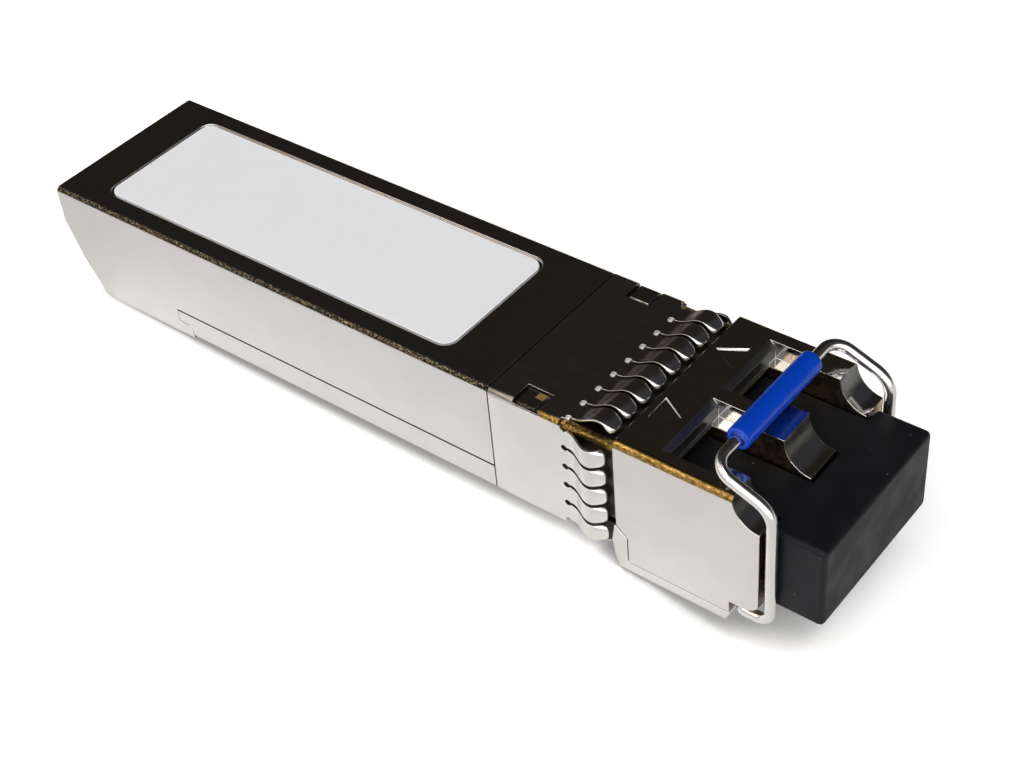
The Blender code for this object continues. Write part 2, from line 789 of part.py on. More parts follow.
def make_chip(name, centre, size, parent, finish):
    """A small flat package that stands on the board."""
    (x, y), (wide, long, high) = centre, size
    body = box(
        (x - wide / 2, x + wide / 2),
        (y - long / 2, y + long / 2),
        (CHIP_BOTTOM, CHIP_BOTTOM + high),
    )
    chip = add_object(name, soften(body, 0.06, 1), parent)
    chip.data.materials.append(finish)
    return chip


def make_screw(name, x, parent, steel):
    """A countersunk screw with a hexagonal socket, driven from the underside."""
    place = (x, SCREW_Y)
    head = cylinder(SCREW_HEAD, "z", place, 0.02, SCREW_HEAD_TOP, 24)
    screw = add_object(name, head, parent)
    screw.data.materials.append(steel)
    join(screw, cylinder(SCREW_SHANK, "z", place, SCREW_HEAD_TOP - 0.06, SCREW_END_Z, 20))
    cut(screw, cylinder(SCREW_SHANK, "z", place, -1, SCREW_HEAD_TOP - 0.15, 6))
    return screw


# Optical sub-assemblies


def make_can(name, centre, parent, metal):
    """A sealed can: header, cap and four leads that point back at the flexible circuit."""
    radius, low, high = CAN_HEADER
    can = add_object(name, cylinder(radius, "y", (centre, OPTICAL_Z), low, high), parent)
    can.data.materials.append(metal)
    radius, low, high = CAN_CAP
    leads = [
        cylinder(0.17, "y", place, -5.2, -4.5, 10)
        for place in arc((centre, OPTICAL_Z), 1.1, 45, 315, 3)
    ]
    join(can, cylinder(radius, "y", (centre, OPTICAL_Z), low, high), *leads)
    return can


def make_barrel(name, centre, parent, metal):
    radius, low, high = BARREL_FLANGE
    barrel = add_object(name, cylinder(radius, "y", (centre, OPTICAL_Z), low, high), parent)
    barrel.data.materials.append(metal)
    radius, low, high = BARREL_NOSE
    join(barrel, cylinder(radius, "y", (centre, OPTICAL_Z), low, high))
    cut(barrel, cylinder(BARREL_BORE, "y", (centre, OPTICAL_Z), -16, -7, 32))
    return barrel


def make_ferrule_sleeve(name, centre, parent, ceramic):
    outer, inner = FERRULE_SLEEVE
    sleeve = add_object(name, cylinder(outer, "y", (centre, OPTICAL_Z), -14.9, -9.5, 32), parent)
    sleeve.data.materials.append(ceramic)
    cut(sleeve, cylinder(inner, "y", (centre, OPTICAL_Z), -16, -8, 32))
    return sleeve


def make_clamp(parent, metal):
    """A yoke that presses both barrel flanges against the nose's port wall."""
    low, high = CAN_CAP[1], CAN_CAP[1] + 0.5
    clamp = add_object("barrel_clamp", box((-5.5, 5.5), (low, high), (1.8, 7.1)), parent)
    clamp.data.materials.append(metal)
    for centre in port_centres():
        cut(clamp, cylinder(CAN_CAP[0] + GAP, "y", (centre, OPTICAL_Z), low - 1, high + 1))
    return clamp


def make_flex(name, centre, parent, film):
    """A flexible circuit, bent from the can's back down on to the board."""
    bend = (-3.95, CHIP_BOTTOM + FLEX_BEND)
    outline = [
        (FLEX_END_Y, CHIP_BOTTOM),
        *arc(bend, FLEX_BEND, -90, -180, 4),
        (bend[0] - FLEX_BEND, FLEX_TOP),
        (bend[0] - FLEX_BEND + FLEX_THICK, FLEX_TOP),
        *arc(bend, FLEX_BEND - FLEX_THICK, -180, -90, 4),
        (FLEX_END_Y, CHIP_BOTTOM + FLEX_THICK),
    ]
    flex = add_object(name, prism(outline, "x", centre - FLEX_HALF, centre + FLEX_HALF), parent)
    flex.data.materials.append(film)
    return flex


# Latch, bail and plug


def make_rocker(parent, metal):
    """The latch lever, whose origin is on its pin. Its boss stands out under the body."""
    pivot_y, pivot_z = ROCKER_PIVOT
    low, high = ROCKER_LOW - pivot_z, ROCKER_HIGH - pivot_z
    boss_front, boss_rear = BOSS_Y[0] - pivot_y, BOSS_Y[1] - pivot_y
    front = ROCKER_FRONT_Y - pivot_y
    side = [
        (front, high),
        (front, low + 0.25),
        (front + 0.3, low),
        (boss_front - 0.3, low),
        (boss_front, BOSS_LOW - pivot_z),
        (boss_rear - 0.9, BOSS_LOW - pivot_z),
        (boss_rear, BOSS_LOW + 0.9 - pivot_z),
        (boss_rear, BOSS_HIGH - pivot_z),
        (boss_front, BOSS_HIGH - pivot_z),
        (boss_front - 0.4, high),
    ]
    bar = prism(side, "x", -ROCKER_HALF, ROCKER_HALF)
    rocker = add_object("latch_rocker", bar, parent)
    rocker.data.materials.append(metal)
    join(rocker, cylinder(ROCKER_HUB_RADIUS, "x", (0, 0), -ROCKER_HALF, ROCKER_HALF, 32))
    cut(rocker, cylinder(PIN_RADIUS + GAP, "x", (0, 0), -2, 2, 24))
    return rocker


def make_pin(parent, steel):
    rod = cylinder(PIN_RADIUS, "x", ROCKER_PIVOT, -PIN_HALF, PIN_HALF, 24)
    pin = add_object("rocker_pin", rod, parent)
    pin.data.materials.append(steel)
    shade_round(pin)
    return pin


def make_spring(parent, steel):
    """A coil spring between the rocker's back arm and the nose's floor."""
    steps = 14
    low = ROCKER_HIGH + GAP + SPRING_WIRE
    high = NOSE_FLOOR_LOW - GAP - SPRING_WIRE
    path = []
    count = int(SPRING_TURNS * steps)
    for step in range(count + 1):
        angle = 2 * math.pi * step / steps
        height = low + (high - low) * step / count
        y = SPRING_Y + SPRING_COIL * math.sin(angle)
        path.append((SPRING_COIL * math.cos(angle), y, height))
    coil = tube(path, SPRING_WIRE, closed=False, sides=6)
    spring = add_object("latch_spring", coil, parent)
    spring.data.materials.append(steel)
    shade_round(spring)
    return spring


def bail_path():
    """The bail's centre line about its pivot: handle, arms, saddles and the crank between them."""
    right = [
        ((ARM_X, HANDLE_DY, HANDLE_DZ), 1.25),
        ((ARM_X, -ARM_FORWARD, SHOULDER_DZ), 1.6),
        ((ARM_X, -ARM_FORWARD, 0), 0.85),
        ((ARM_X, 0, 0), 0.5),
        ((CRANK_SHOULDER, 0, 0), 0.45),
        ((CRANK_HALF, -CRANK_OFFSET, 0), 0.45),
    ]
    left = [((-x, y, z), radius) for (x, y, z), radius in reversed(right)]
    corners, radii = zip(*(right + left))
    return filleted(corners, radii)


def make_bail(parent, steel):
    bail = add_object("bail_wire", tube(bail_path(), WIRE_RADIUS), parent)
    bail.data.materials.append(steel)
    shade_round(bail)
    return bail


def make_bail_sleeve(parent, plastic):
    centre = (HANDLE_DY, HANDLE_DZ)
    body = cylinder(SLEEVE_RADIUS, "x", centre, -SLEEVE_HALF, SLEEVE_HALF, 32)
    sleeve = add_object("bail_sleeve", soften(body, 0.08, 2), parent)
    sleeve.data.materials.append(plastic)
    cut(sleeve, cylinder(WIRE_RADIUS + GAP, "x", centre, -6, 6, 24))
    return sleeve


def make_plug(parent, rubber):
    """The dust plug: a grip block and, in each port, a hollow leg with a ridge in the latch slot."""
    body = box((-PLUG_HALF, PLUG_HALF), (PLUG_FRONT_Y, PLUG_REAR_Y), (PLUG_LOW, PLUG_HIGH))
    plug = add_object("dust_plug", soften(body, 0.35, 3), parent)
    plug.data.materials.append(rubber)
    bore = BARREL_NOSE[0] + 0.15
    along = (PLUG_REAR_Y - 1, PLUG_LEG_END_Y)
    for centre in port_centres():
        half = PORT_HALF - PLUG_SLIDE
        ridge_half = LATCH_NARROW_HALF - PLUG_SLIDE
        leg_z = (PORT_LOW + PLUG_SLIDE, PORT_HIGH - PLUG_SLIDE)
        leg = box((centre - half, centre + half), along, leg_z)
        ridge_z = (PORT_HIGH - 1, PLUG_HIGH - 0.01)
        ridge = box((centre - ridge_half, centre + ridge_half), along, ridge_z)
        join(plug, leg, ridge)
        cut(plug, cylinder(bore, "y", (centre, OPTICAL_Z), PLUG_BORE_END_Y, -10, 32))
    return plug


def make_fixed_pieces(module, metals):
    make_base(module, metals["casting"])
    make_rear_cover(module, metals["casting"])
    make_nose(module, metals["casting"])
    make_collar(module, metals["spring"])
    make_pin(module, metals["steel"])
    make_spring(module, metals["steel"])
    make_screw("base_screw_left", -SCREW_X, module, metals["steel"])
    make_screw("base_screw_right", SCREW_X, module, metals["steel"])
    make_clamp(module, metals["spring"])
    for name, centre in zip(("transmitter", "receiver"), port_centres()):
        make_can(name + "_can", centre, module, metals["can"])
        make_barrel(name + "_barrel", centre, module, metals["steel"])


def make_electronics(module, gold):
    laminate = material("laminate", (0.02, 0.14, 0.06), 0.45, 0.0)
    epoxy = material("epoxy", (0.02, 0.02, 0.022), 0.5, 0.0)
    film = material("polyimide film", (0.55, 0.26, 0.04), 0.35, 0.0)
    ceramic = material("ceramic", (0.86, 0.85, 0.8), 0.3, 0.0)
    tan_ceramic = material("capacitor ceramic", (0.45, 0.33, 0.22), 0.45, 0.0)
    make_board(module, laminate)
    make_contacts("contacts_top", CHIP_BOTTOM, module, gold)
    make_contacts("contacts_bottom", BOARD_LOW - 2 * GAP, module, gold)
    make_chip("driver_chip", (0, DRIVER_Y), (4.0, 4.0, DRIVER_HIGH), module, epoxy)
    make_chip("controller_chip", (0, 17.0), (5.0, 5.0, 0.9), module, epoxy)
    make_chip("receiver_chip", (-3.0, 1.0), (2.4, 2.4, 0.7), module, epoxy)
    make_chip("crystal", (3.6, 23.5), (2.5, 2.0, 0.6), module, gold)
    make_chip("capacitor_left", (-1.2, 31.5), (0.5, 1.0, 0.5), module, tan_ceramic)
    make_chip("capacitor_right", (1.2, 31.5), (0.5, 1.0, 0.5), module, tan_ceramic)
    pad_half = 1.9
    pad_z = (CHIP_BOTTOM + DRIVER_HIGH + GAP, PEDESTAL_LOW - GAP)
    pad = box((-pad_half, pad_half), (DRIVER_Y - pad_half, DRIVER_Y + pad_half), pad_z)
    thermal_pad = add_object("thermal_pad", pad, module)
    thermal_pad.data.materials.append(material("gap filler", (0.45, 0.55, 0.62), 0.8, 0.0))
    for name, centre in zip(("transmitter", "receiver"), port_centres()):
        make_flex(name + "_flex", centre, module, film)
        make_ferrule_sleeve(name + "_ferrule_sleeve", centre, module, ceramic)


def make_moving_pieces(module, metals):
    rocker_pivot = empty("rocker_axis", (0, *ROCKER_PIVOT), module)
    bail_pivot = empty("bail_axis", (0, *BAIL_PIVOT), module)
    make_rocker(rocker_pivot, metals["casting"])
    make_bail(bail_pivot, metals["steel"])
    make_bail_sleeve(bail_pivot, material("blue sleeve", (0.004, 0.05, 0.45), 0.25, 0.0))
    make_plug(module, material("black rubber", (0.025, 0.027, 0.03), 0.7, 0.0))


def build():
    clear_scene()
    module = empty("module", (0, SEAM_Y, 0))
    metals = {
        "casting": material("nickel plated zinc", (0.62, 0.6, 0.58), 0.16, 1.0),
        "spring": material("plated spring steel", (0.6, 0.58, 0.56), 0.22, 1.0),
        "steel": material("polished steel", (0.7, 0.69, 0.68), 0.18, 1.0),
        "can": material("can metal", (0.75, 0.66, 0.45), 0.3, 1.0),
    }
    make_fixed_pieces(module, metals)
    make_electronics(module, material("gold plating", (0.83, 0.62, 0.25), 0.25, 1.0))
    make_label(module, material("label paper", (0.82, 0.84, 0.86), 0.6, 0.0))
    make_moving_pieces(module, metals)


build()
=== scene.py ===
"""Looks of a pluggable optical transceiver module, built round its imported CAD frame.

Units are metres, in the frame of the CAD model: +Z up, +Y towards the card edge and -Y towards
the optical ports. Sizes that the frame doesn't give are written in millimetres, times MM.
"""

import json
import math

import bmesh
import bpy
from mathutils import Euler, Matrix, Vector


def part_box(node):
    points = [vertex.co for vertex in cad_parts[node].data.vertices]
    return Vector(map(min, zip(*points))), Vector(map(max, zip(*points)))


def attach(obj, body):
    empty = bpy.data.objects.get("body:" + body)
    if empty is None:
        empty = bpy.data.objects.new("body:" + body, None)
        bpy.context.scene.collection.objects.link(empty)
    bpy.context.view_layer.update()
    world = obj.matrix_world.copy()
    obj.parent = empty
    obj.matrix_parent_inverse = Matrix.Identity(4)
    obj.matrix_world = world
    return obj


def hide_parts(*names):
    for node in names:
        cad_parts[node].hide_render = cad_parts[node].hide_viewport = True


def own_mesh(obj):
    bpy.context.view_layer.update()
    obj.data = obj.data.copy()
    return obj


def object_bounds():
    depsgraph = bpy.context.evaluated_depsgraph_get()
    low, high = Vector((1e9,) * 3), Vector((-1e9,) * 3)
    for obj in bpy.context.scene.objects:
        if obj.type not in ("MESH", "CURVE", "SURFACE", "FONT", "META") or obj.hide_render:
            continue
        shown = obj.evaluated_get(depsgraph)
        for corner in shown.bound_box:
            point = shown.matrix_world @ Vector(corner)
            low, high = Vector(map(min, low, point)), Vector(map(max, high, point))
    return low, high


MM = 0.001

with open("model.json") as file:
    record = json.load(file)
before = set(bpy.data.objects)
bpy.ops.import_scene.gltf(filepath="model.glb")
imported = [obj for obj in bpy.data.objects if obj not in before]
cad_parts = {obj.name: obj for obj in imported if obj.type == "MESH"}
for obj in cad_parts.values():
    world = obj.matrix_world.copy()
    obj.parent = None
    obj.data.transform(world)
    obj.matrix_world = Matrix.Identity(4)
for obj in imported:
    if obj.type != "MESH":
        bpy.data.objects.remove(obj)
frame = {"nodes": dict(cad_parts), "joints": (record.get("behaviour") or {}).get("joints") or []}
cad_low, cad_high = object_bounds()

# Driving places, read from the frame
body_low, body_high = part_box("rear_cover")
nose_low, nose_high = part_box("nose_shell")
collar_low, collar_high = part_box("emi_collar")
wire_low, wire_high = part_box("bail_wire")
sleeve_low, sleeve_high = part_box("bail_sleeve")
spring_low, spring_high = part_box("latch_spring")

# Bail wire
WIRE_RADIUS = 0.36 * MM
HANDLE_FILLET = 1.25 * MM
SHOULDER_DROP = 1.52 * MM  # the arms slope down by this much on their way forward
SHOULDER_FILLET = 1.6 * MM
FOOT_FILLETS = (0.85 * MM, 0.5 * MM)
CRANK_SHOULDER = 2.4 * MM
CRANK_HALF = 1.55 * MM
CRANK_OFFSET = 0.85 * MM
CRANK_FILLET = 0.45 * MM

# Seam between cover and base along the side, the dark line that it draws, and the inner faces, which get
# a painted shade
SIDE_SEAM_Z = 2.04 * MM
SIDE_SEAM_END = body_high.y - 10.5 * MM
SEAM_LINE = 0.07 * MM  # half the line's width
INNER_DEPTH = 0.06 * MM  # faces this far inside the outer skin count as inner faces
INNER_TOP = body_high.z - 0.17 * MM  # the neck's top, and just under the label recess's floor
INNER_END = body_high.y - 6 * MM
EDGE_REFLECTION_BAND = 0.35 * MM  # how wide the painted reflection band is along the cover's top edges

# Folded collar
SHEET = 0.15 * MM
FOLD_RADIUS = 0.35 * MM
FINGER_PITCH = 1.525 * MM
SLOT_HALF = 0.13 * MM
SLOT_NECK = 0.07 * MM
ROOT_RADIUS = 0.22 * MM
HUMP = 0.72 * MM
TIP_DROP = 0.5 * MM
TIP_CORNER = 0.42 * MM
CROWN = 0.035  # how much lower than its middle a finger's edges are, as a share of the hump
SLOT_ROOT = collar_high.y - 5.4 * MM
FOLD_END = collar_high.y - 5.25 * MM
HUMP_START = SLOT_ROOT - 0.55 * MM
HUMP_PEAK = collar_low.y + 1.05 * MM
WINDOW_SHARE = 0.574  # the window starts at this share of the last finger's half width
WINDOW_DROP = 0.05 * MM
WINDOW_Y = (collar_high.y - 3.75 * MM, collar_high.y - 1.85 * MM)

# Limits of the gold lock face that shows in the collar's window, on one side only: a painted highlight
# standing in for warm light on it
LOCK_SIDE = (body_high.x - 1.6 * MM, body_high.x - 1.0 * MM)
LOCK_FACE = (WINDOW_Y[0] + 0.3 * MM, WINDOW_Y[0] + 0.9 * MM)
LOCK_TOP = (body_high.z - 0.5 * MM, body_high.z - 0.05 * MM)

# Painted light on the nose's neck: limits of the pale painted highlight at the slots' roots, and the
# painted amber reflection at the corner
ROOT_GLINT_Y = (SLOT_ROOT - 0.22 * MM, SLOT_ROOT + 0.06 * MM)
ROOT_GLINT_Z = (body_high.z - 0.3 * MM, body_high.z)
NECK_INSET = 0.2 * MM
NECK_REFLECTION_BAND = 0.5 * MM


def pivot(joint_name):
    """The point that a joint turns about, as the record gives it."""
    joint = next(joint for joint in frame["joints"] if joint["name"] == joint_name)
    return Vector(joint["pos_m"])


# Mesh helpers


def link(name, data):
    made = bpy.data.objects.new(name, data)
    bpy.context.scene.collection.objects.link(made)
    return made


def object_from(name, shape):
    """Turns a bmesh into a linked object and frees it."""
    bmesh.ops.recalc_face_normals(shape, faces=shape.faces)
    mesh = bpy.data.meshes.new(name)
    shape.to_mesh(mesh)
    shape.free()
    mesh.shade_smooth()
    return link(name, mesh)


def round_edges(piece, radius, segments=2, angle=35):
    """Rounds every edge sharper than the angle and evens out the shading of the flats."""
    bevel = piece.modifiers.new("rounded edges", "BEVEL")
    bevel.width = radius
    bevel.segments = segments
    bevel.limit_method = "ANGLE"
    bevel.angle_limit = math.radians(angle)
    bevel.use_clamp_overlap = False
    normals = piece.modifiers.new("even shading", "WEIGHTED_NORMAL")
    normals.keep_sharp = True
    return piece


def refined(node, name, radius, segments=2):
    """A finer copy of a CAD node's shape: facets on one plane merged and edges rounded."""
    shape = bmesh.new()
    shape.from_mesh(frame["nodes"][node].data)
    bmesh.ops.remove_doubles(shape, verts=shape.verts, dist=0.0005 * MM)
    bmesh.ops.dissolve_limit(
        shape, angle_limit=math.radians(0.4), verts=shape.verts, edges=shape.edges
    )
    return round_edges(object_from(name, shape), radius, segments)


def bridge(shape, ring, following):
    """Joins two rings of points with quads."""
    count = len(ring)
    for step in range(count):
        after = (step + 1) % count
        shape.faces.new((ring[step], ring[after], following[after], following[step]))


def nearest_turn(ring, following):
    """Turns a ring's list of points so that it starts beside the other ring's first point."""
    first = ring[0].co
    best = min(range(len(following)), key=lambda step: (following[step].co - first).length)
    return following[best:] + following[:best]


def sweep(path, radius, closed, sides):
    """A round bar along a path, carried by a frame that doesn't twist."""
    shape = bmesh.new()
    count = len(path)
    rings = []
    side = None
    for number, point in enumerate(path):
        if closed:
            along = path[(number + 1) % count] - path[number - 1]
        else:
            along = path[min(number + 1, count - 1)] - path[max(number - 1, 0)]
        along.normalize()
        side = side or along.orthogonal()
        side = (side - along * side.dot(along)).normalized()
        other = along.cross(side)
        ring = []
        for step in range(sides):
            angle = 2 * math.pi * step / sides
            offset = side * math.cos(angle) + other * math.sin(angle)
            ring.append(shape.verts.new(point + offset * radius))
        rings.append(ring)
    for ring, following in zip(rings, rings[1:]):
        bridge(shape, ring, following)
    if closed:
        bridge(shape, rings[-1], nearest_turn(rings[-1], rings[0]))
    else:
        shape.faces.new(rings[0])
        shape.faces.new(rings[-1])
    return shape


def filleted(corners, steps=14):
    """Rounds each corner of a closed path. A corner is its point and its radius."""
    path = []
    places = [Vector(place) for place, _ in corners]
    for number, (_, radius) in enumerate(corners):
        here = places[number]
        back = (places[number - 1] - here).normalized()
        ahead = (places[(number + 1) % len(places)] - here).normalized()
        half = back.angle(ahead) / 2
        centre = here + (back + ahead).normalized() * radius / math.sin(half)
        reach = radius / math.tan(half)
        start = (here + back * reach - centre).normalized()
        end = (here + ahead * reach - centre).normalized()
        for step in range(steps + 1):
            path.append(centre + start.slerp(end, step / steps) * radius)
    return path


def turned(profile, centre, sides=64):
    """A solid turned about the X axis. Its closed profile is pairs of (x, radius)."""
    shape = bmesh.new()
    rings = []
    for x, radius in profile:
        ring = []
        for step in range(sides):
            angle = 2 * math.pi * step / sides
            offset = Vector((0, math.cos(angle), math.sin(angle))) * radius
            ring.append(shape.verts.new(Vector((x, centre.y, centre.z)) + offset))
        rings.append(ring)
    for number, ring in enumerate(rings):
        bridge(shape, ring, rings[(number + 1) % len(rings)])
    return shape


def settle(piece, node, body, slot, *materials):
    """Makes a piece stand for a CAD node, ride on its body and wear its materials."""
    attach(piece, body)
    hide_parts(node)
    piece.data.materials.clear()
    for made in materials:
        piece.data.materials.append(made)
    return piece


# Materials


class Finish:
    """A procedural material: a Principled shader and the nodes that feed it."""

    def __init__(self, name, **inputs):
        self.material = bpy.data.materials.new(name)
        self.material.use_nodes = True
        self.tree = self.material.node_tree
        self.shader = self.tree.nodes["Principled BSDF"]
        self.place = self.add("ShaderNodeTexCoord").outputs["Object"]
        self.normal = None
        for key, value in inputs.items():
            self.set(key.replace("_", " "), value)

    def add(self, kind, **settings):
        made = self.tree.nodes.new(kind)
        for key, value in settings.items():
            setattr(made, key, value)
        return made

    def plug(self, value, socket):
        """Links a socket, or sets a number or a colour, as the value asks."""
        if isinstance(value, bpy.types.NodeSocket):
            self.tree.links.new(value, socket)
        elif isinstance(value, (tuple, list)) and len(value) == 3 and socket.type == "RGBA":
            socket.default_value = (*value, 1.0)
        else:
            socket.default_value = value

    def set(self, name, value):
        self.plug(value, self.shader.inputs[name])
        return self

    def stretched(self, scale):
        """Object coordinates in millimetres, stretched by three factors."""
        mapping = self.add("ShaderNodeMapping")
        self.plug(self.place, mapping.inputs["Vector"])
        mapping.inputs["Scale"].default_value = Vector(scale) / MM
        return mapping.outputs["Vector"]

    def noise(self, per_mm, detail=2.0, scale=(1, 1, 1), distortion=0.0):
        texture = self.add("ShaderNodeTexNoise")
        self.plug(self.stretched(scale), texture.inputs["Vector"])
        texture.inputs["Scale"].default_value = per_mm
        texture.inputs["Detail"].default_value = detail
        texture.inputs["Distortion"].default_value = distortion
        return texture.outputs["Fac"]

    def cells(self, per_mm):
        texture = self.add("ShaderNodeTexVoronoi")
        self.plug(self.stretched((1, 1, 1)), texture.inputs["Vector"])
        texture.inputs["Scale"].default_value = per_mm
        return texture.outputs["Distance"]

    def between(self, value, low, high, out_low=0.0, out_high=1.0):
        """Rescales a value from one range to another, smoothly, and clamps it."""
        made = self.add("ShaderNodeMapRange", interpolation_type="SMOOTHSTEP")
        for name, number in (
            ("Value", value),
            ("From Min", low),
            ("From Max", high),
            ("To Min", out_low),
            ("To Max", out_high),
        ):
            self.plug(number, made.inputs[name])
        return made.outputs["Result"]

    def math(self, operation, first, second):
        made = self.add("ShaderNodeMath", operation=operation)
        self.plug(first, made.inputs[0])
        self.plug(second, made.inputs[1])
        return made.outputs[0]

    def blend(self, factor, first, second):
        made = self.add("ShaderNodeMix", data_type="RGBA")
        self.plug(factor, made.inputs["Factor"])
        self.plug(first, made.inputs["A"])
        self.plug(second, made.inputs["B"])
        return made.outputs["Result"]

    def coordinates(self):
        """How far a point lies from the middle plane, along the module and up."""
        split = self.add("ShaderNodeSeparateXYZ")
        self.plug(self.place, split.inputs[0])
        across, along, up = split.outputs
        return self.math("ABSOLUTE", across, 0.0), along, up

    def sideways(self):
        """How far a point lies to the left of the middle plane, seen from the ports."""
        split = self.add("ShaderNodeSeparateXYZ")
        self.plug(self.place, split.inputs[0])
        return self.math("MULTIPLY", split.outputs[0], -1.0)

    def within(self, value, low, high, soft=0.02 * MM):
        """1 between two limits and 0 outside them, with softened ends."""
        above = self.between(value, low, low + soft)
        below = self.between(value, high - soft, high, 1.0, 0.0)
        return self.math("MULTIPLY", above, below)

    def overlap(self, *masks):
        """1 only where every mask is 1."""
        product = masks[0]
        for mask in masks[1:]:
            product = self.math("MULTIPLY", product, mask)
        return product

    def corner(self, half_width, top, band):
        """A mask of the two long top edges, a band wide on the top and down the side."""
        across, _, up = self.coordinates()
        beside = self.between(across, half_width - band, half_width - 0.7 * band)
        above = self.between(up, top - band, top - 0.7 * band)
        return self.overlap(beside, above)

    def cover(self, mask, colour, roughness):
        """Lays another colour and roughness over the finish so far, where a mask is 1."""
        inputs = self.shader.inputs
        under = inputs["Base Color"].links[0].from_socket
        self.set("Base Color", self.blend(mask, under, colour))
        mixed = self.add("ShaderNodeMix", data_type="FLOAT")
        self.plug(mask, mixed.inputs["Factor"])
        self.plug(inputs["Roughness"].links[0].from_socket, mixed.inputs["A"])
        self.plug(roughness, mixed.inputs["B"])
        return self.set("Roughness", mixed.outputs["Result"])

    def bump(self, height, depth):
        """Adds relief of a given depth, in millimetres, on top of any earlier relief."""
        made = self.add("ShaderNodeBump")
        made.inputs["Distance"].default_value = depth * MM
        self.plug(height, made.inputs["Height"])
        if self.normal:
            self.plug(self.normal, made.inputs["Normal"])
        self.normal = made.outputs["Normal"]
        self.set("Normal", self.normal)
        return self


def metal(name, colour, roughness, grain, depth, tint=0.9):
    """Plated or bare metal: cloudy roughness, faint darker clouds and a fine grain."""
    made = Finish(name, Metallic=1.0)
    clouds = made.noise(0.35, 3.0)
    streaks = made.noise(2.2, 4.0, (1, 0.25, 1))
    darker = tuple(channel * tint for channel in colour)
    made.set("Base Color", made.blend(made.between(clouds, 0.35, 0.7), colour, darker))
    low, high = roughness
    made.set("Roughness", made.between(made.math("ADD", clouds, streaks), 0.75, 1.25, low, high))
    made.bump(made.noise(grain, 2.0), depth)
    return made


AMBER_REFLECTION = ((0.12, 0.07, 0.02), (0.5, 0.31, 0.09))
# near-black: painted shade on the inner faces under the collar, and the side seam's own dark line
SHADE_AND_SEAM_DARK = (0.045, 0.04, 0.035)


def amber_reflection(made):
    """A speckled amber tone: a painted reflection of the warm light, along rounded edges and folds."""
    return made.blend(made.between(made.noise(8.0, 4.0), 0.4, 0.62), *AMBER_REFLECTION)


def under_collar(made):
    """A mask of the castings' inner faces, behind their seams and under the folded collar, where shade
    is painted.
    """
    across, along, up = made.coordinates()
    skin = body_high.x - INNER_DEPTH
    inner = made.between(across, skin, skin + INNER_DEPTH / 2, 1.0, 0.0)
    length = made.within(along, collar_low.y - 0.3 * MM, INNER_END)
    height = made.within(up, body_low.z + 0.02 * MM, INNER_TOP)
    return made.overlap(inner, length, height)


def casting_metal():
    """Plated zinc: painted shade inside the seams, and along the two long top edges a painted
    reflection, dark with amber speckles.
    """
    made = metal("nickel plated zinc", (0.685, 0.671, 0.653), (0.07, 0.12), 7.0, 0.001, 0.975)
    # painted shade on the inner faces behind the seams and under the collar
    made.cover(under_collar(made), SHADE_AND_SEAM_DARK, 0.4)
    _, along, up = made.coordinates()
    joint = made.within(up, SIDE_SEAM_Z - SEAM_LINE, SIDE_SEAM_Z + SEAM_LINE, 0.03 * MM)
    made.cover(made.overlap(joint, made.within(along, collar_high.y, SIDE_SEAM_END)), SHADE_AND_SEAM_DARK, 0.4)
    # painted highlight: the lock face takes a gold colour, standing in for the warm light that falls on
    # it
    lock_side = made.within(made.sideways(), *LOCK_SIDE)
    lock_face = made.within(along, *LOCK_FACE)
    lock_top = made.within(up, *LOCK_TOP)
    made.cover(made.overlap(lock_side, lock_face, lock_top), (0.6, 0.42, 0.13), 0.6)
    # painted reflection along the top edges: a dark band with amber speckles, as the rounded edges
    # mirror dark and warm surroundings
    edge_glint_mix = made.between(made.noise(10.0, 3.0), 0.5, 0.68)
    speckled = made.blend(edge_glint_mix, (0.016, 0.014, 0.012), (0.38, 0.31, 0.2))
    made.cover(made.corner(body_high.x, body_high.z, EDGE_REFLECTION_BAND), speckled, 0.3)
    return made.bump(made.noise(0.5, 1.0), 0.002).material


def nose_metal():
    """A grainier plating, with painted shade where the collar covers it and a pale painted highlight at
    the slots' roots.
    """
    made = metal("nickel plated nose", (0.675, 0.66, 0.64), (0.08, 0.14), 9.0, 0.0024, 0.96)
    hidden = under_collar(made)
    # painted shade where the collar covers the neck
    made.cover(hidden, SHADE_AND_SEAM_DARK, 0.4)
    _, along, up = made.coordinates()
    # painted highlight: a pale, matte patch under each slot's root stands in for the glint there
    root_glint = made.overlap(made.within(along, *ROOT_GLINT_Y), made.within(up, *ROOT_GLINT_Z))
    made.cover(root_glint, (0.95, 0.94, 0.92), 0.5)
    made.set("Metallic", made.between(root_glint, 0.0, 1.0, 1.0, 0.0))
    neck_corner = made.corner(body_high.x - NECK_INSET, body_high.z - NECK_INSET, NECK_REFLECTION_BAND)
    # painted reflection: amber on the neck's corner under the collar
    made.cover(made.overlap(hidden, neck_corner), amber_reflection(made), 0.4)
    return made.bump(made.noise(0.6, 1.0), 0.002).material


def nose_edge_metal():
    """Along the rounded edges the plating's colour carries a painted amber reflection, finely speckled
    with dark.
    """
    made = Finish("edge plating with painted reflection", Metallic=1.0)
    reflection_clouds = made.noise(7.0, 4.0, (1, 0.5, 1))
    amber = made.blend(made.between(reflection_clouds, 0.36, 0.66), (0.17, 0.1, 0.03), (0.5, 0.31, 0.09))
    speckles = made.between(made.cells(9.0), 0.12, 0.2, 1.0, 0.0)
    made.set("Base Color", made.blend(speckles, amber, (0.04, 0.03, 0.02)))
    made.set("Roughness", made.between(reflection_clouds, 0.3, 0.7, 0.28, 0.18))
    return made.bump(made.noise(12.0, 3.0), 0.01).material


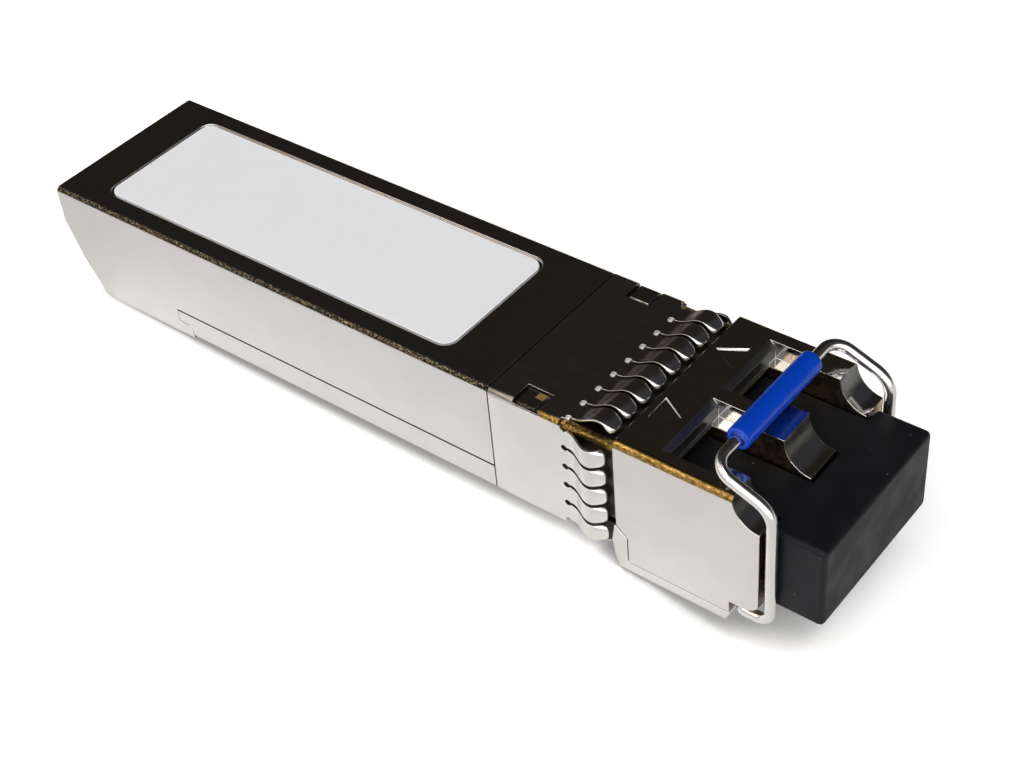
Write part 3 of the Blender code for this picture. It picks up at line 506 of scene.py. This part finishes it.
def cast_wall_metal():
    """Inside the ports a thin plating lies on a rough cast skin, its brown and gold tone a painted
    reflection, with bright painted glints.
    """
    made = Finish("rough cast wall", Metallic=1.0)
    clouds = made.noise(1.3, 4.0)
    skin = made.blend(made.between(clouds, 0.4, 0.6), (0.14, 0.105, 0.07), (0.5, 0.36, 0.19))
    speckles = made.between(made.cells(7.0), 0.1, 0.22, 1.0, 0.0)
    chosen = made.between(made.noise(2.0, 2.0), 0.5, 0.56)
    # painted glints: bright speckles in a few places
    bright = made.math("MULTIPLY", speckles, chosen)
    made.set("Base Color", made.blend(bright, skin, (0.95, 0.92, 0.87)))
    made.set("Roughness", made.between(clouds, 0.3, 0.7, 0.34, 0.2))
    made.bump(made.noise(6.0, 4.0), 0.025)
    return made.bump(made.cells(7.0), 0.02).material


def slot_end_metal():
    """The end walls of the latch slots are a dull, dark grey."""
    made = metal("dull slot end", (0.2, 0.2, 0.19), (0.3, 0.45), 8.0, 0.01, 0.6)
    return made.material


def collar_metal():
    """Plated spring sheet. Along its folds the tone is painted: an amber reflection ahead of the
    windows, a darker grey behind.
    """
    made = metal("plated spring sheet", (0.715, 0.7, 0.68), (0.13, 0.2), 10.0, 0.0009, 0.96)
    folds = made.corner(body_high.x, body_high.z, FOLD_RADIUS + 0.01 * MM)
    along = made.coordinates()[1]
    ahead = made.between(along, WINDOW_Y[1] - 0.1 * MM, WINDOW_Y[1], 1.0, 0.0)
    made.cover(folds, made.blend(ahead, (0.3, 0.26, 0.22), amber_reflection(made)), 0.3)
    return made.material


def wire_metal():
    return metal("drawn wire", (0.76, 0.75, 0.74), (0.14, 0.22), 5.0, 0.001, 0.96).material


def steel_metal():
    return metal("turned steel", (0.62, 0.61, 0.6), (0.16, 0.28), 12.0, 0.0015).material


def can_metal():
    return metal("sealed can", (0.72, 0.6, 0.38), (0.2, 0.32), 8.0, 0.0015).material


def gold_metal():
    return metal("gold plating", (0.86, 0.62, 0.24), (0.18, 0.28), 14.0, 0.0008).material


def sleeve_plastic():
    """Glossy cobalt tubing with slow waves in its surface."""
    made = Finish("cobalt tubing", Specular_IOR_Level=0.36)
    clouds = made.noise(0.5, 2.0)
    made.set("Base Color", made.blend(clouds, (0.0006, 0.041, 0.41), (0.001, 0.051, 0.48)))
    made.set("Roughness", made.between(made.noise(1.4, 3.0), 0.3, 0.7, 0.2, 0.3))
    made.bump(made.noise(0.5, 1.0), 0.008)
    return made.bump(made.noise(14.0, 2.0), 0.001).material


def plug_rubber():
    """Matte black rubber with a moulded grain and a few pale specks of dust."""
    made = Finish("black rubber", Specular_IOR_Level=0.22, Specular_Tint=(0.8, 0.85, 0.95))
    clouds = made.noise(0.45, 3.0)
    rubber = made.blend(clouds, (0.0048, 0.0052, 0.006), (0.0072, 0.0077, 0.0088))
    near = made.between(made.cells(1.6), 0.05, 0.09, 1.0, 0.0)
    chosen = made.between(made.noise(1.1, 0.0), 0.6, 0.64)
    specks = made.math("MULTIPLY", near, chosen)
    made.set("Base Color", made.blend(specks, rubber, (0.16, 0.16, 0.155)))
    made.set("Roughness", made.between(clouds, 0.3, 0.7, 0.42, 0.56))
    made.bump(made.noise(16.0, 3.0), 0.006)
    return made.bump(made.noise(1.2, 2.0), 0.01).material


def label_paper():
    """Coated paper with a faint weave of fibres."""
    made = Finish("label paper", Specular_IOR_Level=0.35)
    fibres = made.noise(9.0, 4.0, (1, 0.35, 1), 0.6)
    made.set("Base Color", made.blend(fibres, (0.855, 0.876, 0.905), (0.903, 0.921, 0.95)))
    made.set("Roughness", made.between(fibres, 0.3, 0.7, 0.5, 0.62))
    return made.bump(fibres, 0.003).material


def board_laminate():
    """Green solder mask over a woven glass laminate."""
    made = Finish("solder mask")
    weave = made.math(
        "MULTIPLY",
        made.noise(3.0, 1.0, (1, 6, 1)),
        made.noise(3.0, 1.0, (6, 1, 1)),
    )
    tone = made.between(weave, 0.15, 0.35)
    made.set("Base Color", made.blend(tone, (0.008, 0.1, 0.035), (0.02, 0.17, 0.065)))
    made.set("Roughness", made.between(made.noise(1.2), 0.3, 0.7, 0.3, 0.42))
    return made.bump(weave, 0.008).material


def moulded(name, dark, light, roughness, per_mm, depth):
    """A moulded or fired body: two tones, uneven roughness and a grain."""
    made = Finish(name)
    made.set("Base Color", made.blend(made.noise(per_mm * 0.3, 3.0), dark, light))
    low, high = roughness
    made.set("Roughness", made.between(made.noise(per_mm * 0.5), 0.3, 0.7, low, high))
    return made.bump(made.noise(per_mm, 3.0), depth).material


def make_materials():
    return {
        "casting": casting_metal(),
        "nose": nose_metal(),
        "nose_edge": nose_edge_metal(),
        "cast_wall": cast_wall_metal(),
        "slot_end": slot_end_metal(),
        "collar_sheet": collar_metal(),
        "bail_steel": wire_metal(),
        "steel": steel_metal(),
        "can_metal": can_metal(),
        "gold": gold_metal(),
        "blue_plastic": sleeve_plastic(),
        "plug_rubber": plug_rubber(),
        "label_paper": label_paper(),
        "laminate": board_laminate(),
        "epoxy": moulded("chip epoxy", (0.012,) * 3, (0.024,) * 3, (0.45, 0.6), 12.0, 0.004),
        "ceramic": moulded("zirconia", (0.8, 0.79, 0.75), (0.88, 0.87, 0.84), (0.15, 0.25), 10.0, 0.001),
        "polyimide": moulded(
            "polyimide film", (0.42, 0.17, 0.02), (0.58, 0.27, 0.05), (0.25, 0.38), 6.0, 0.003
        ),
        "capacitor_body": moulded(
            "capacitor", (0.36, 0.26, 0.17), (0.47, 0.35, 0.24), (0.4, 0.55), 10.0, 0.003
        ),
        "gap_filler": moulded("gap filler", (0.4, 0.5, 0.58), (0.5, 0.6, 0.67), (0.7, 0.85), 8.0, 0.02),
    }


# Pieces

FIXED = "module"


def plain_pieces():
    """CAD node, finer piece, material slot and edge rounding in millimetres."""
    return (
        ("base_shell", "lower_casting", "casting", 0.05),
        ("rear_cover", "upper_casting", "casting", 0.05),
        ("rocker_pin", "latch_pin", "steel", 0.06),
        ("base_screw_left", "countersunk_screw_left", "steel", 0.03),
        ("base_screw_right", "countersunk_screw_right", "steel", 0.03),
        ("barrel_clamp", "barrel_yoke", "collar_sheet", 0.04),
        ("transmitter_can", "transmitter_header_can", "can_metal", 0.04),
        ("receiver_can", "receiver_header_can", "can_metal", 0.04),
        ("transmitter_barrel", "transmitter_lens_barrel", "steel", 0.05),
        ("receiver_barrel", "receiver_lens_barrel", "steel", 0.05),
        ("transmitter_ferrule_sleeve", "transmitter_split_sleeve", "ceramic", 0.04),
        ("receiver_ferrule_sleeve", "receiver_split_sleeve", "ceramic", 0.04),
        ("transmitter_flex", "transmitter_flexible_circuit", "polyimide", 0.02),
        ("receiver_flex", "receiver_flexible_circuit", "polyimide", 0.02),
        ("circuit_board", "printed_board", "laminate", 0.03),
        ("contacts_top", "edge_contacts_top", "gold", 0.01),
        ("contacts_bottom", "edge_contacts_bottom", "gold", 0.01),
        ("driver_chip", "laser_driver", "epoxy", 0.04),
        ("controller_chip", "microcontroller", "epoxy", 0.04),
        ("receiver_chip", "receiver_amplifier", "epoxy", 0.04),
        ("crystal", "crystal_can", "can_metal", 0.06),
        ("capacitor_left", "coupling_capacitor_left", "capacitor_body", 0.04),
        ("capacitor_right", "coupling_capacitor_right", "capacitor_body", 0.04),
        ("thermal_pad", "heat_pad", "gap_filler", 0.08),
    )


def make_plain_pieces(materials):
    for node, name, slot, radius in plain_pieces():
        settle(refined(node, name, radius * MM), node, FIXED, slot, materials[slot])


NOSE_SKINS = ("nose", "nose_edge", "cast_wall", "slot_end")


def nose_skin(centre, normal):
    """Which of the NOSE_SKINS a face of the nose has."""
    edge = 0.45 * MM
    skin = 0.15 * MM
    ledge = nose_high.z - 1.3 * MM
    latch_front = nose_low.y + 4.0 * MM
    neck_front = nose_high.y - 5 * MM
    if centre.z > nose_high.z - edge and abs(centre.x) > nose_high.x - edge:
        rounded = 0.2 < normal.z < 0.98 and abs(normal.x) > 0.2
        return "nose_edge" if rounded else "nose"
    if abs(centre.x) > nose_high.x - skin or centre.z > nose_high.z - skin:
        return "nose"
    if centre.z > ledge and normal.y < -0.5:
        return "slot_end"
    if centre.z > ledge and centre.y > latch_front:
        return "nose"
    arc = normal.y < -0.05 and normal.z > 0.05
    return "nose" if arc or centre.y > neck_front else "cast_wall"


def make_nose(materials):
    """The optical nose. Its edges carry a painted amber reflection, and its port and slot walls a rough
    cast skin with painted reflection and glints.
    """
    piece = refined("nose_shell", "optical_nose", 0.05 * MM)
    skins = [materials[name] for name in NOSE_SKINS]
    settle(piece, "nose_shell", FIXED, "casting", *skins)
    for face in piece.data.polygons:
        face.material_index = NOSE_SKINS.index(nose_skin(face.center, face.normal))


def make_rocker(materials):
    piece = refined("latch_rocker", "latch_lever", 0.07 * MM)
    settle(piece, "latch_rocker", "latch", "casting", materials["casting"])


def make_plug(materials):
    piece = refined("dust_plug", "rubber_plug", 0.09 * MM, segments=3)
    settle(piece, "dust_plug", "plug", "plug_rubber", materials["plug_rubber"])


def make_label(materials):
    piece = refined("label", "paper_label", 0.03 * MM)
    settle(piece, "label", FIXED, "label_paper", materials["label_paper"])


# Collar


def side_middle():
    """Distance along the collar's outline from the top centre to the middle of a side."""
    flat = body_high.x - FOLD_RADIUS
    side = body_high.z - body_low.z - 2 * FOLD_RADIUS
    return flat + math.pi / 2 * FOLD_RADIUS + side / 2


def fold_distances(first):
    """Distances of the points along a fold that starts at a given distance."""
    return [first + math.pi / 2 * FOLD_RADIUS * step / 5 for step in range(6)]


def outline_point(distance, lift):
    """A point of the collar's outline, clockwise from the top centre, lifted outwards: (x, z)."""
    half_round = 2 * side_middle()
    if distance > half_round:
        x, z = outline_point(2 * half_round - distance, lift)
        return -x, z
    if distance > side_middle():
        x, z = outline_point(half_round - distance, lift)
        return x, body_low.z + body_high.z - z
    flat = body_high.x - FOLD_RADIUS
    if distance <= flat:
        return distance, body_high.z + lift
    angle = min((distance - flat) / FOLD_RADIUS, math.pi / 2)
    below = distance - flat - angle * FOLD_RADIUS
    reach = FOLD_RADIUS + lift
    x = flat + reach * math.sin(angle)
    return x, body_high.z - FOLD_RADIUS + reach * math.cos(angle) - below


def collar_stretches():
    """Kind, start and end of each stretch between two slots, once round from the top centre."""
    middle = side_middle()
    right = [("finger", number, number + 1) for number in range(4)]
    right = [(kind, start * FINGER_PITCH, end * FINGER_PITCH) for kind, start, end in right]
    right.append(("fold", 4 * FINGER_PITCH, middle - 2.5 * FINGER_PITCH))
    for number in range(5):
        start = middle + (number - 2.5) * FINGER_PITCH
        right.append(("finger", start, start + FINGER_PITCH))
    right.append(("fold", middle + 2.5 * FINGER_PITCH, 2 * middle - 4 * FINGER_PITCH))
    for number in (4, 3, 2):
        start = 2 * middle - number * FINGER_PITCH
        right.append(("finger", start, start + FINGER_PITCH))
    boss = ("boss", 2 * middle - FINGER_PITCH, 2 * middle + FINGER_PITCH)
    left = [(kind, 4 * middle - end, 4 * middle - start) for kind, start, end in reversed(right)]
    return [*right, boss, *left]


def collar_columns():
    """The collar's columns: (kind, start, end, share), with shares from -1 to 1 of its stretch."""
    middle = side_middle()
    first_fold = fold_distances(body_high.x - FOLD_RADIUS)
    folds = first_fold + [first_fold[-1] + WINDOW_DROP]
    folds += [2 * middle - distance for distance in first_fold]
    folds += [4 * middle - distance for distance in folds]
    near_edge = (0.82, 0.94, 1.0)
    shares = sorted({sign * share for share in (0.0, 0.3, WINDOW_SHARE, *near_edge) for sign in (-1, 1)})
    columns = []
    for kind, start, end in collar_stretches():
        if kind == "finger":
            inner = shares
        elif kind == "boss":
            inner = (-1.0, -0.5, 0.0, 0.5, 1.0)
        else:
            inside = sorted(distance for distance in folds if start < distance < end)
            inner = [2 * (distance - start) / (end - start) - 1 for distance in inside]
            inner = [-1.0, *inner, 1.0]
        columns += [(kind, start, end, share) for share in inner]
    return columns


def collar_rows():
    """Places along the module where the collar has a row of points, from the seam forwards."""
    rows = [collar_high.y, WINDOW_Y[1], WINDOW_Y[0], FOLD_END, SLOT_ROOT]
    rows += [SLOT_ROOT - ROOT_RADIUS * (1 - math.cos(math.radians(30 * step))) for step in range(1, 7)]
    steps = 20
    rows += [HUMP_START + (collar_low.y - HUMP_START) * step / steps for step in range(steps + 1)]
    return rows


def slot_half_width(y):
    """Half of a slot's width: a round root, a straight run, and wider between the tips."""
    if y > SLOT_ROOT:
        return SLOT_HALF
    from_centre = abs(y - (SLOT_ROOT - ROOT_RADIUS))
    if from_centre <= ROOT_RADIUS:
        return max(SLOT_NECK, math.sqrt(ROOT_RADIUS**2 - from_centre**2))
    return SLOT_HALF


def finger_lift(y):
    """How far the middle of a finger stands out from the flat sheet."""
    if y > HUMP_START:
        return 0.0
    if y > HUMP_PEAK:
        part = (HUMP_START - y) / (HUMP_START - HUMP_PEAK)
        return HUMP * part * part * (3 - 2 * part)
    part = (HUMP_PEAK - y) / (HUMP_PEAK - collar_low.y)
    return HUMP - TIP_DROP * part * part


def tip_setback(share):
    """How far a finger's rounded tip stands back at a share of its half width."""
    from_edge = (1 - abs(share)) * (FINGER_PITCH / 2 - SLOT_HALF)
    if from_edge >= TIP_CORNER:
        return 0.0
    return TIP_CORNER - math.sqrt(TIP_CORNER**2 - (TIP_CORNER - from_edge) ** 2)


def collar_corner(column, y, inner):
    """The point of the outer or inner skin where a column meets a row."""
    kind, start, end, share = column
    half = (end - start) / 2
    trim = slot_half_width(y)
    if kind == "finger" or abs(share) == 1:
        distance = start + half + share * (half - trim)
    else:
        distance = start + half + share * half
    lift = finger_lift(y) * (1 - CROWN * share * share)
    x, z = outline_point(distance, lift - (SHEET if inner else 0))
    reach = 2 * TIP_CORNER
    if kind == "finger" and y < collar_low.y + reach:
        y += tip_setback(share) * (collar_low.y + reach - y) / reach
    return x, y, z


def make_collar(materials):
    """One sheet folded round the neck, slit into sprung fingers with rounded, crowned tips."""
    rows = collar_rows()
    columns = collar_columns()
    window_end = fold_distances(body_high.x - FOLD_RADIUS)[-1] + WINDOW_DROP
    window = (3.5 - WINDOW_SHARE / 2) * FINGER_PITCH
    ends = {"finger": -math.inf, "slot": SLOT_ROOT, "boss": SLOT_ROOT, "fold": FOLD_END}
    sheet = bmesh.new()
    made = {}

    def corner(row, number, inner):
        key = (row, number % len(columns), inner)
        if key not in made:
            place = collar_corner(columns[key[1]], rows[row], inner)
            made[key] = sheet.verts.new(place)
        return made[key]

    def present(row, number):
        if not 0 <= row < len(rows) - 1:
            return False
        kind, start, end, share = columns[number % len(columns)]
        kind = "slot" if share == 1 else kind
        y = (rows[row] + rows[row + 1]) / 2
        from_top = start + (end - start) * (share + 1.01) / 2
        from_top = min(from_top, 4 * side_middle() - from_top)
        if window < from_top < window_end and WINDOW_Y[0] < y < WINDOW_Y[1]:
            return False
        return y > ends[kind]

    for number in range(len(columns)):
        for row in range(len(rows) - 1):
            if present(row, number):
                add_cell(sheet, corner, present, row, number)
    piece = object_from("finger_collar", sheet)
    round_edges(piece, 0.02 * MM, 2, 50)
    settle(piece, "emi_collar", FIXED, "collar_sheet", materials["collar_sheet"])


def add_cell(sheet, corner, present, row, number):
    """Adds one cell's outer and inner faces, and a wall wherever its neighbour is missing."""
    cell = ((row, number), (row, number + 1), (row + 1, number + 1), (row + 1, number))
    outer = [corner(*place, False) for place in cell]
    inner = [corner(*place, True) for place in cell]
    sheet.faces.new(outer)
    sheet.faces.new(reversed(inner))
    neighbours = ((row - 1, number), (row, number + 1), (row + 1, number), (row, number - 1))
    for step, place in enumerate(neighbours):
        if not present(*place):
            after = (step + 1) % 4
            sheet.faces.new((outer[step], inner[step], inner[after], outer[after]))


# Bail, sleeve and spring


def bail_path():
    """Centre line of the wire: handle, sloping shoulders, arms, saddles and the crank."""
    axis = pivot("bail_swing")
    half = wire_high.x - WIRE_RADIUS
    top = wire_high.z - WIRE_RADIUS
    back = wire_high.y - WIRE_RADIUS
    front = wire_low.y + WIRE_RADIUS
    right = [
        ((half, back, top), HANDLE_FILLET),
        ((half, front, top - SHOULDER_DROP), SHOULDER_FILLET),
        ((half, front, axis.z), FOOT_FILLETS[0]),
        ((half, axis.y, axis.z), FOOT_FILLETS[1]),
        ((CRANK_SHOULDER, axis.y, axis.z), CRANK_FILLET),
        ((CRANK_HALF, axis.y - CRANK_OFFSET, axis.z), CRANK_FILLET),
    ]
    left = [((-x, y, z), radius) for (x, y, z), radius in reversed(right)]
    return filleted(right + left)


def make_bail(materials):
    piece = object_from("bail_loop", sweep(bail_path(), WIRE_RADIUS, True, 28))
    settle(piece, "bail_wire", "bail", "bail_steel", materials["bail_steel"])


def make_sleeve(materials):
    """Tubing over the handle, a little narrower towards its softened ends."""
    centre = (sleeve_low + sleeve_high) / 2
    half = sleeve_high.x
    outer = (sleeve_high.z - sleeve_low.z) / 2
    bore = WIRE_RADIUS + 0.04 * MM
    lip = 0.16 * MM
    steps = 24
    ends = [90 * step / 6 for step in range(7)]
    right = []
    for angle in ends:
        turn = math.radians(angle)
        right.append((half - lip + lip * math.sin(turn), outer - lip + lip * math.cos(turn)))
    middle = [((half - lip) * (2 * step / steps - 1), outer) for step in range(1, steps)]
    profile = [(-x, radius) for x, radius in reversed(right)] + middle + right
    profile += [(half, bore), (-half, bore)]
    piece = object_from("pull_sleeve", turned(profile, centre))
    settle(piece, "bail_sleeve", "bail", "blue_plastic", materials["blue_plastic"])


def make_spring(materials):
    """The coil between the lever's back arm and the nose's floor, pressed shorter by the lever."""
    wire = 0.09 * MM
    turns = 3.5
    steps = 28
    centre = (spring_low + spring_high) / 2
    coil = (spring_high.y - spring_low.y) / 2 - wire
    count = int(turns * steps)
    path = []
    for step in range(count + 1):
        angle = 2 * math.pi * step / steps
        share = step / count
        z = spring_low.z + wire + (spring_high.z - spring_low.z - 2 * wire) * share
        path.append(Vector((centre.x + coil * math.cos(angle), centre.y + coil * math.sin(angle), z)))
    piece = object_from("return_spring", sweep(path, wire, False, 12))
    settle(piece, "latch_spring", FIXED, "steel", materials["steel"])
    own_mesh(piece)


# Stage

FLOOR_GLOW = 0.04
CAMERA_GLOW = 0.4
CONTACT_REACH = 1.9 * MM  # reach of the contact shadow from the nose's rear edge backwards
FRONT_REACH = 4.6 * MM  # and ahead of it, where the floor lies lower
DIP_DEPTH = 1.1 * MM  # the floor sinks gently ahead of the nose, which leaves room for the bail
DIP_START = 0.4 * MM  # ahead of the nose's rear edge, on which the module rests
DIP_RUN = 7.4 * MM
FLOOR_HALF = 3.0
FLOOR_GAP = 0.02 * MM
NOSE_REST = 8.95 * MM  # the nose's rear edge, behind the base's front end
TAIL_REST = 3.8 * MM  # the rear edge that touches the floor, ahead of the cover's rear end
FAR = (55 * MM, 90 * MM)  # over this distance the floor behind the far side goes dark
FAR_WAY = (0.56, 0.83, 0.0)

# Colours of the dome by height, from the horizon (0) to the zenith (1)
DOME = (
    (0.0, (0.16, 0.115, 0.07)),
    (0.1, (0.26, 0.21, 0.16)),
    (0.32, (1.2, 1.19, 1.17)),
    (1.0, (1.5, 1.5, 1.5)),
)

# Soft-edged patches laid over the dome in turn: direction, the angles in degrees at which the
# patch has faded out and is full, and its radiance
PATCHES = (
    ((-0.6, -0.6, 0.5), 66, 30, (2.0, 2.0, 2.0)),
    ((0.6, -0.35, 0.72), 56, 38, (0.04, 0.04, 0.045)),
    ((0.56, 0.5, 0.66), 52, 32, (0.02, 0.0165, 0.0135)),
    ((-0.56, 0.5, 0.66), 19, 14, (0.8, 0.45, 0.12)),
    ((-0.56, 0.5, 0.66), 10, 8, (3.6, 3.5, 3.4)),
    ((0.0, 0.0, 1.0), 8, 5, (6.0, 6.0, 6.0)),
)

CAMERA_TURN = (-48.4, 41.31, -5.63)  # azimuth, elevation and roll in degrees
CAMERA_PLACE = (-67.26, -65.645, 72.53)  # from the middle of the top, in millimetres
LENS = 64.54
SENSOR_WIDTH = 36.0


def make_floor():
    """A pale floor through the two edges that the module rests on, lower ahead of the nose."""
    nose_edge = Vector((0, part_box("base_shell")[0].y + NOSE_REST, cad_low.z))
    rear_edge = Vector((0, body_high.y - TAIL_REST, body_low.z))
    slope = math.atan2(rear_edge.z - nose_edge.z, rear_edge.y - nose_edge.y)
    shape = bmesh.new()
    steps = 24
    rows = [(-FLOOR_HALF, -DIP_DEPTH)]
    for step in range(steps + 1):
        share = step / steps
        depth = DIP_DEPTH * (1 + math.cos(math.pi * share)) / 2
        rows.append((-DIP_START - DIP_RUN * (1 - share), -depth))
    rows.append((FLOOR_HALF, 0.0))
    edges = []
    for y, z in rows:
        edges.append([shape.verts.new((x, y, z)) for x in (-FLOOR_HALF, FLOOR_HALF)])
    for back, front in zip(edges[1:], edges):
        shape.faces.new((front[0], front[1], back[1], back[0]))
    floor = object_from("floor", shape)
    floor.location = nose_edge - Vector((0, 0, FLOOR_GAP))
    floor.rotation_euler = Euler((slope, 0, 0))
    floor.data.materials.append(floor_paint())


def floor_paint():
    """Matt pale paint with a tight contact shadow, and no far glare behind the module."""
    made = Finish("pale floor", Roughness=0.9, Specular_IOR_Level=0.0, Emission_Color=(1, 1, 1))
    camera_ray = made.add("ShaderNodeLightPath").outputs["Is Camera Ray"]
    covered = made.add("ShaderNodeAmbientOcclusion", samples=16)
    along = made.coordinates()[1]
    made.plug(made.between(along, -DIP_RUN, 0.0, FRONT_REACH, CONTACT_REACH), covered.inputs["Distance"])
    contact = made.between(covered.outputs["AO"], 0.35, 0.8, 0.3, 1.0)
    reach = made.add("ShaderNodeVectorMath", operation="LENGTH")
    made.plug(made.place, reach.inputs[0])
    way = made.add("ShaderNodeVectorMath", operation="NORMALIZE")
    made.plug(made.place, way.inputs[0])
    sector = made.add("ShaderNodeVectorMath", operation="DOT_PRODUCT")
    made.plug(way.outputs["Vector"], sector.inputs[0])
    sector.inputs[1].default_value = Vector(FAR_WAY).normalized()
    behind = made.between(sector.outputs["Value"], 0.7, 0.9)
    glare = made.math("MULTIPLY", made.between(reach.outputs["Value"], *FAR), behind)
    plain = made.noise(0.2, 2.0)
    pale = made.blend(plain, (0.89, 0.89, 0.885), (0.91, 0.91, 0.905))
    reflected = made.blend(glare, pale, (0.1, 0.08, 0.06))
    shaded = made.blend(contact, (0.0, 0.0, 0.0), pale)
    made.set("Base Color", made.blend(camera_ray, reflected, shaded))
    glow = made.math("MULTIPLY", contact, CAMERA_GLOW)
    dim = made.between(glare, 0.0, 1.0, FLOOR_GLOW, 0.0)
    lift = made.math("ADD", made.math("MULTIPLY", camera_ray, glow), dim)
    made.set("Emission Strength", lift)
    return made.material


def make_world():
    """A bright studio dome with a dark horizon, two dark patches and a few soft lights."""
    world = bpy.data.worlds.new("studio")
    bpy.context.scene.world = world
    world.use_nodes = True
    tree = world.node_tree
    nodes, links = tree.nodes, tree.links
    background = nodes["Background"]
    way = nodes.new("ShaderNodeTexCoord").outputs["Generated"]
    split = nodes.new("ShaderNodeSeparateXYZ")
    links.new(way, split.inputs[0])
    dome = nodes.new("ShaderNodeValToRGB")
    links.new(split.outputs["Z"], dome.inputs["Fac"])
    while len(dome.color_ramp.elements) < len(DOME):
        dome.color_ramp.elements.new(0.5)
    for element, (place, colour) in zip(dome.color_ramp.elements, DOME):
        element.position = place
        element.color = (*colour, 1)

    def patch(colour, direction, faded, full, radiance):
        """Lays a soft-edged round patch of light, or of dark, over the dome so far."""
        toward = nodes.new("ShaderNodeVectorMath")
        toward.operation = "DOT_PRODUCT"
        links.new(way, toward.inputs[0])
        toward.inputs[1].default_value = Vector(direction).normalized()
        mask = nodes.new("ShaderNodeMapRange")
        mask.interpolation_type = "SMOOTHSTEP"
        links.new(toward.outputs["Value"], mask.inputs["Value"])
        mask.inputs["From Min"].default_value = math.cos(math.radians(faded))
        mask.inputs["From Max"].default_value = math.cos(math.radians(full))
        mix = nodes.new("ShaderNodeMix")
        mix.data_type = "RGBA"
        links.new(mask.outputs["Result"], mix.inputs["Factor"])
        links.new(colour, mix.inputs["A"])
        mix.inputs["B"].default_value = (*radiance, 1)
        return mix.outputs["Result"]

    light = dome.outputs["Color"]
    for direction, faded, full, radiance in PATCHES:
        light = patch(light, direction, faded, full, radiance)
    seen = nodes.new("ShaderNodeLightPath")
    backdrop = nodes.new("ShaderNodeMix")
    backdrop.data_type = "RGBA"
    links.new(seen.outputs["Is Camera Ray"], backdrop.inputs["Factor"])
    links.new(light, backdrop.inputs["A"])
    backdrop.inputs["B"].default_value = (1, 1, 1, 1)
    links.new(backdrop.outputs["Result"], background.inputs["Color"])


def make_camera():
    """A camera above the near front corner, aimed a little off the middle of the module."""
    azimuth, elevation, roll = (math.radians(angle) for angle in CAMERA_TURN)
    back = Vector((
        math.sin(azimuth) * math.cos(elevation),
        -math.cos(azimuth) * math.cos(elevation),
        math.sin(elevation),
    ))
    camera = link("camera", bpy.data.cameras.new("camera"))
    camera.data.lens = LENS
    camera.data.sensor_width = SENSOR_WIDTH
    camera.data.clip_start = 0.005
    middle_y = (nose_low.y + body_high.y) / 2
    camera.location = Vector((0, middle_y, body_high.z)) + Vector(CAMERA_PLACE) * MM
    aim = (-back).to_track_quat("-Z", "Y").to_matrix()
    turn = Matrix.Rotation(roll, 3, "Z")
    camera.rotation_euler = (aim @ turn).to_euler()
    bpy.context.scene.camera = camera


def set_view():
    settings = bpy.context.scene.view_settings
    settings.view_transform = "Standard"
    settings.look = "None"


materials = make_materials()
make_plain_pieces(materials)
make_nose(materials)
make_rocker(materials)
make_plug(materials)
make_label(materials)
make_collar(materials)
make_bail(materials)
make_sleeve(materials)
make_spring(materials)
make_floor()
make_world()
make_camera()
set_view()
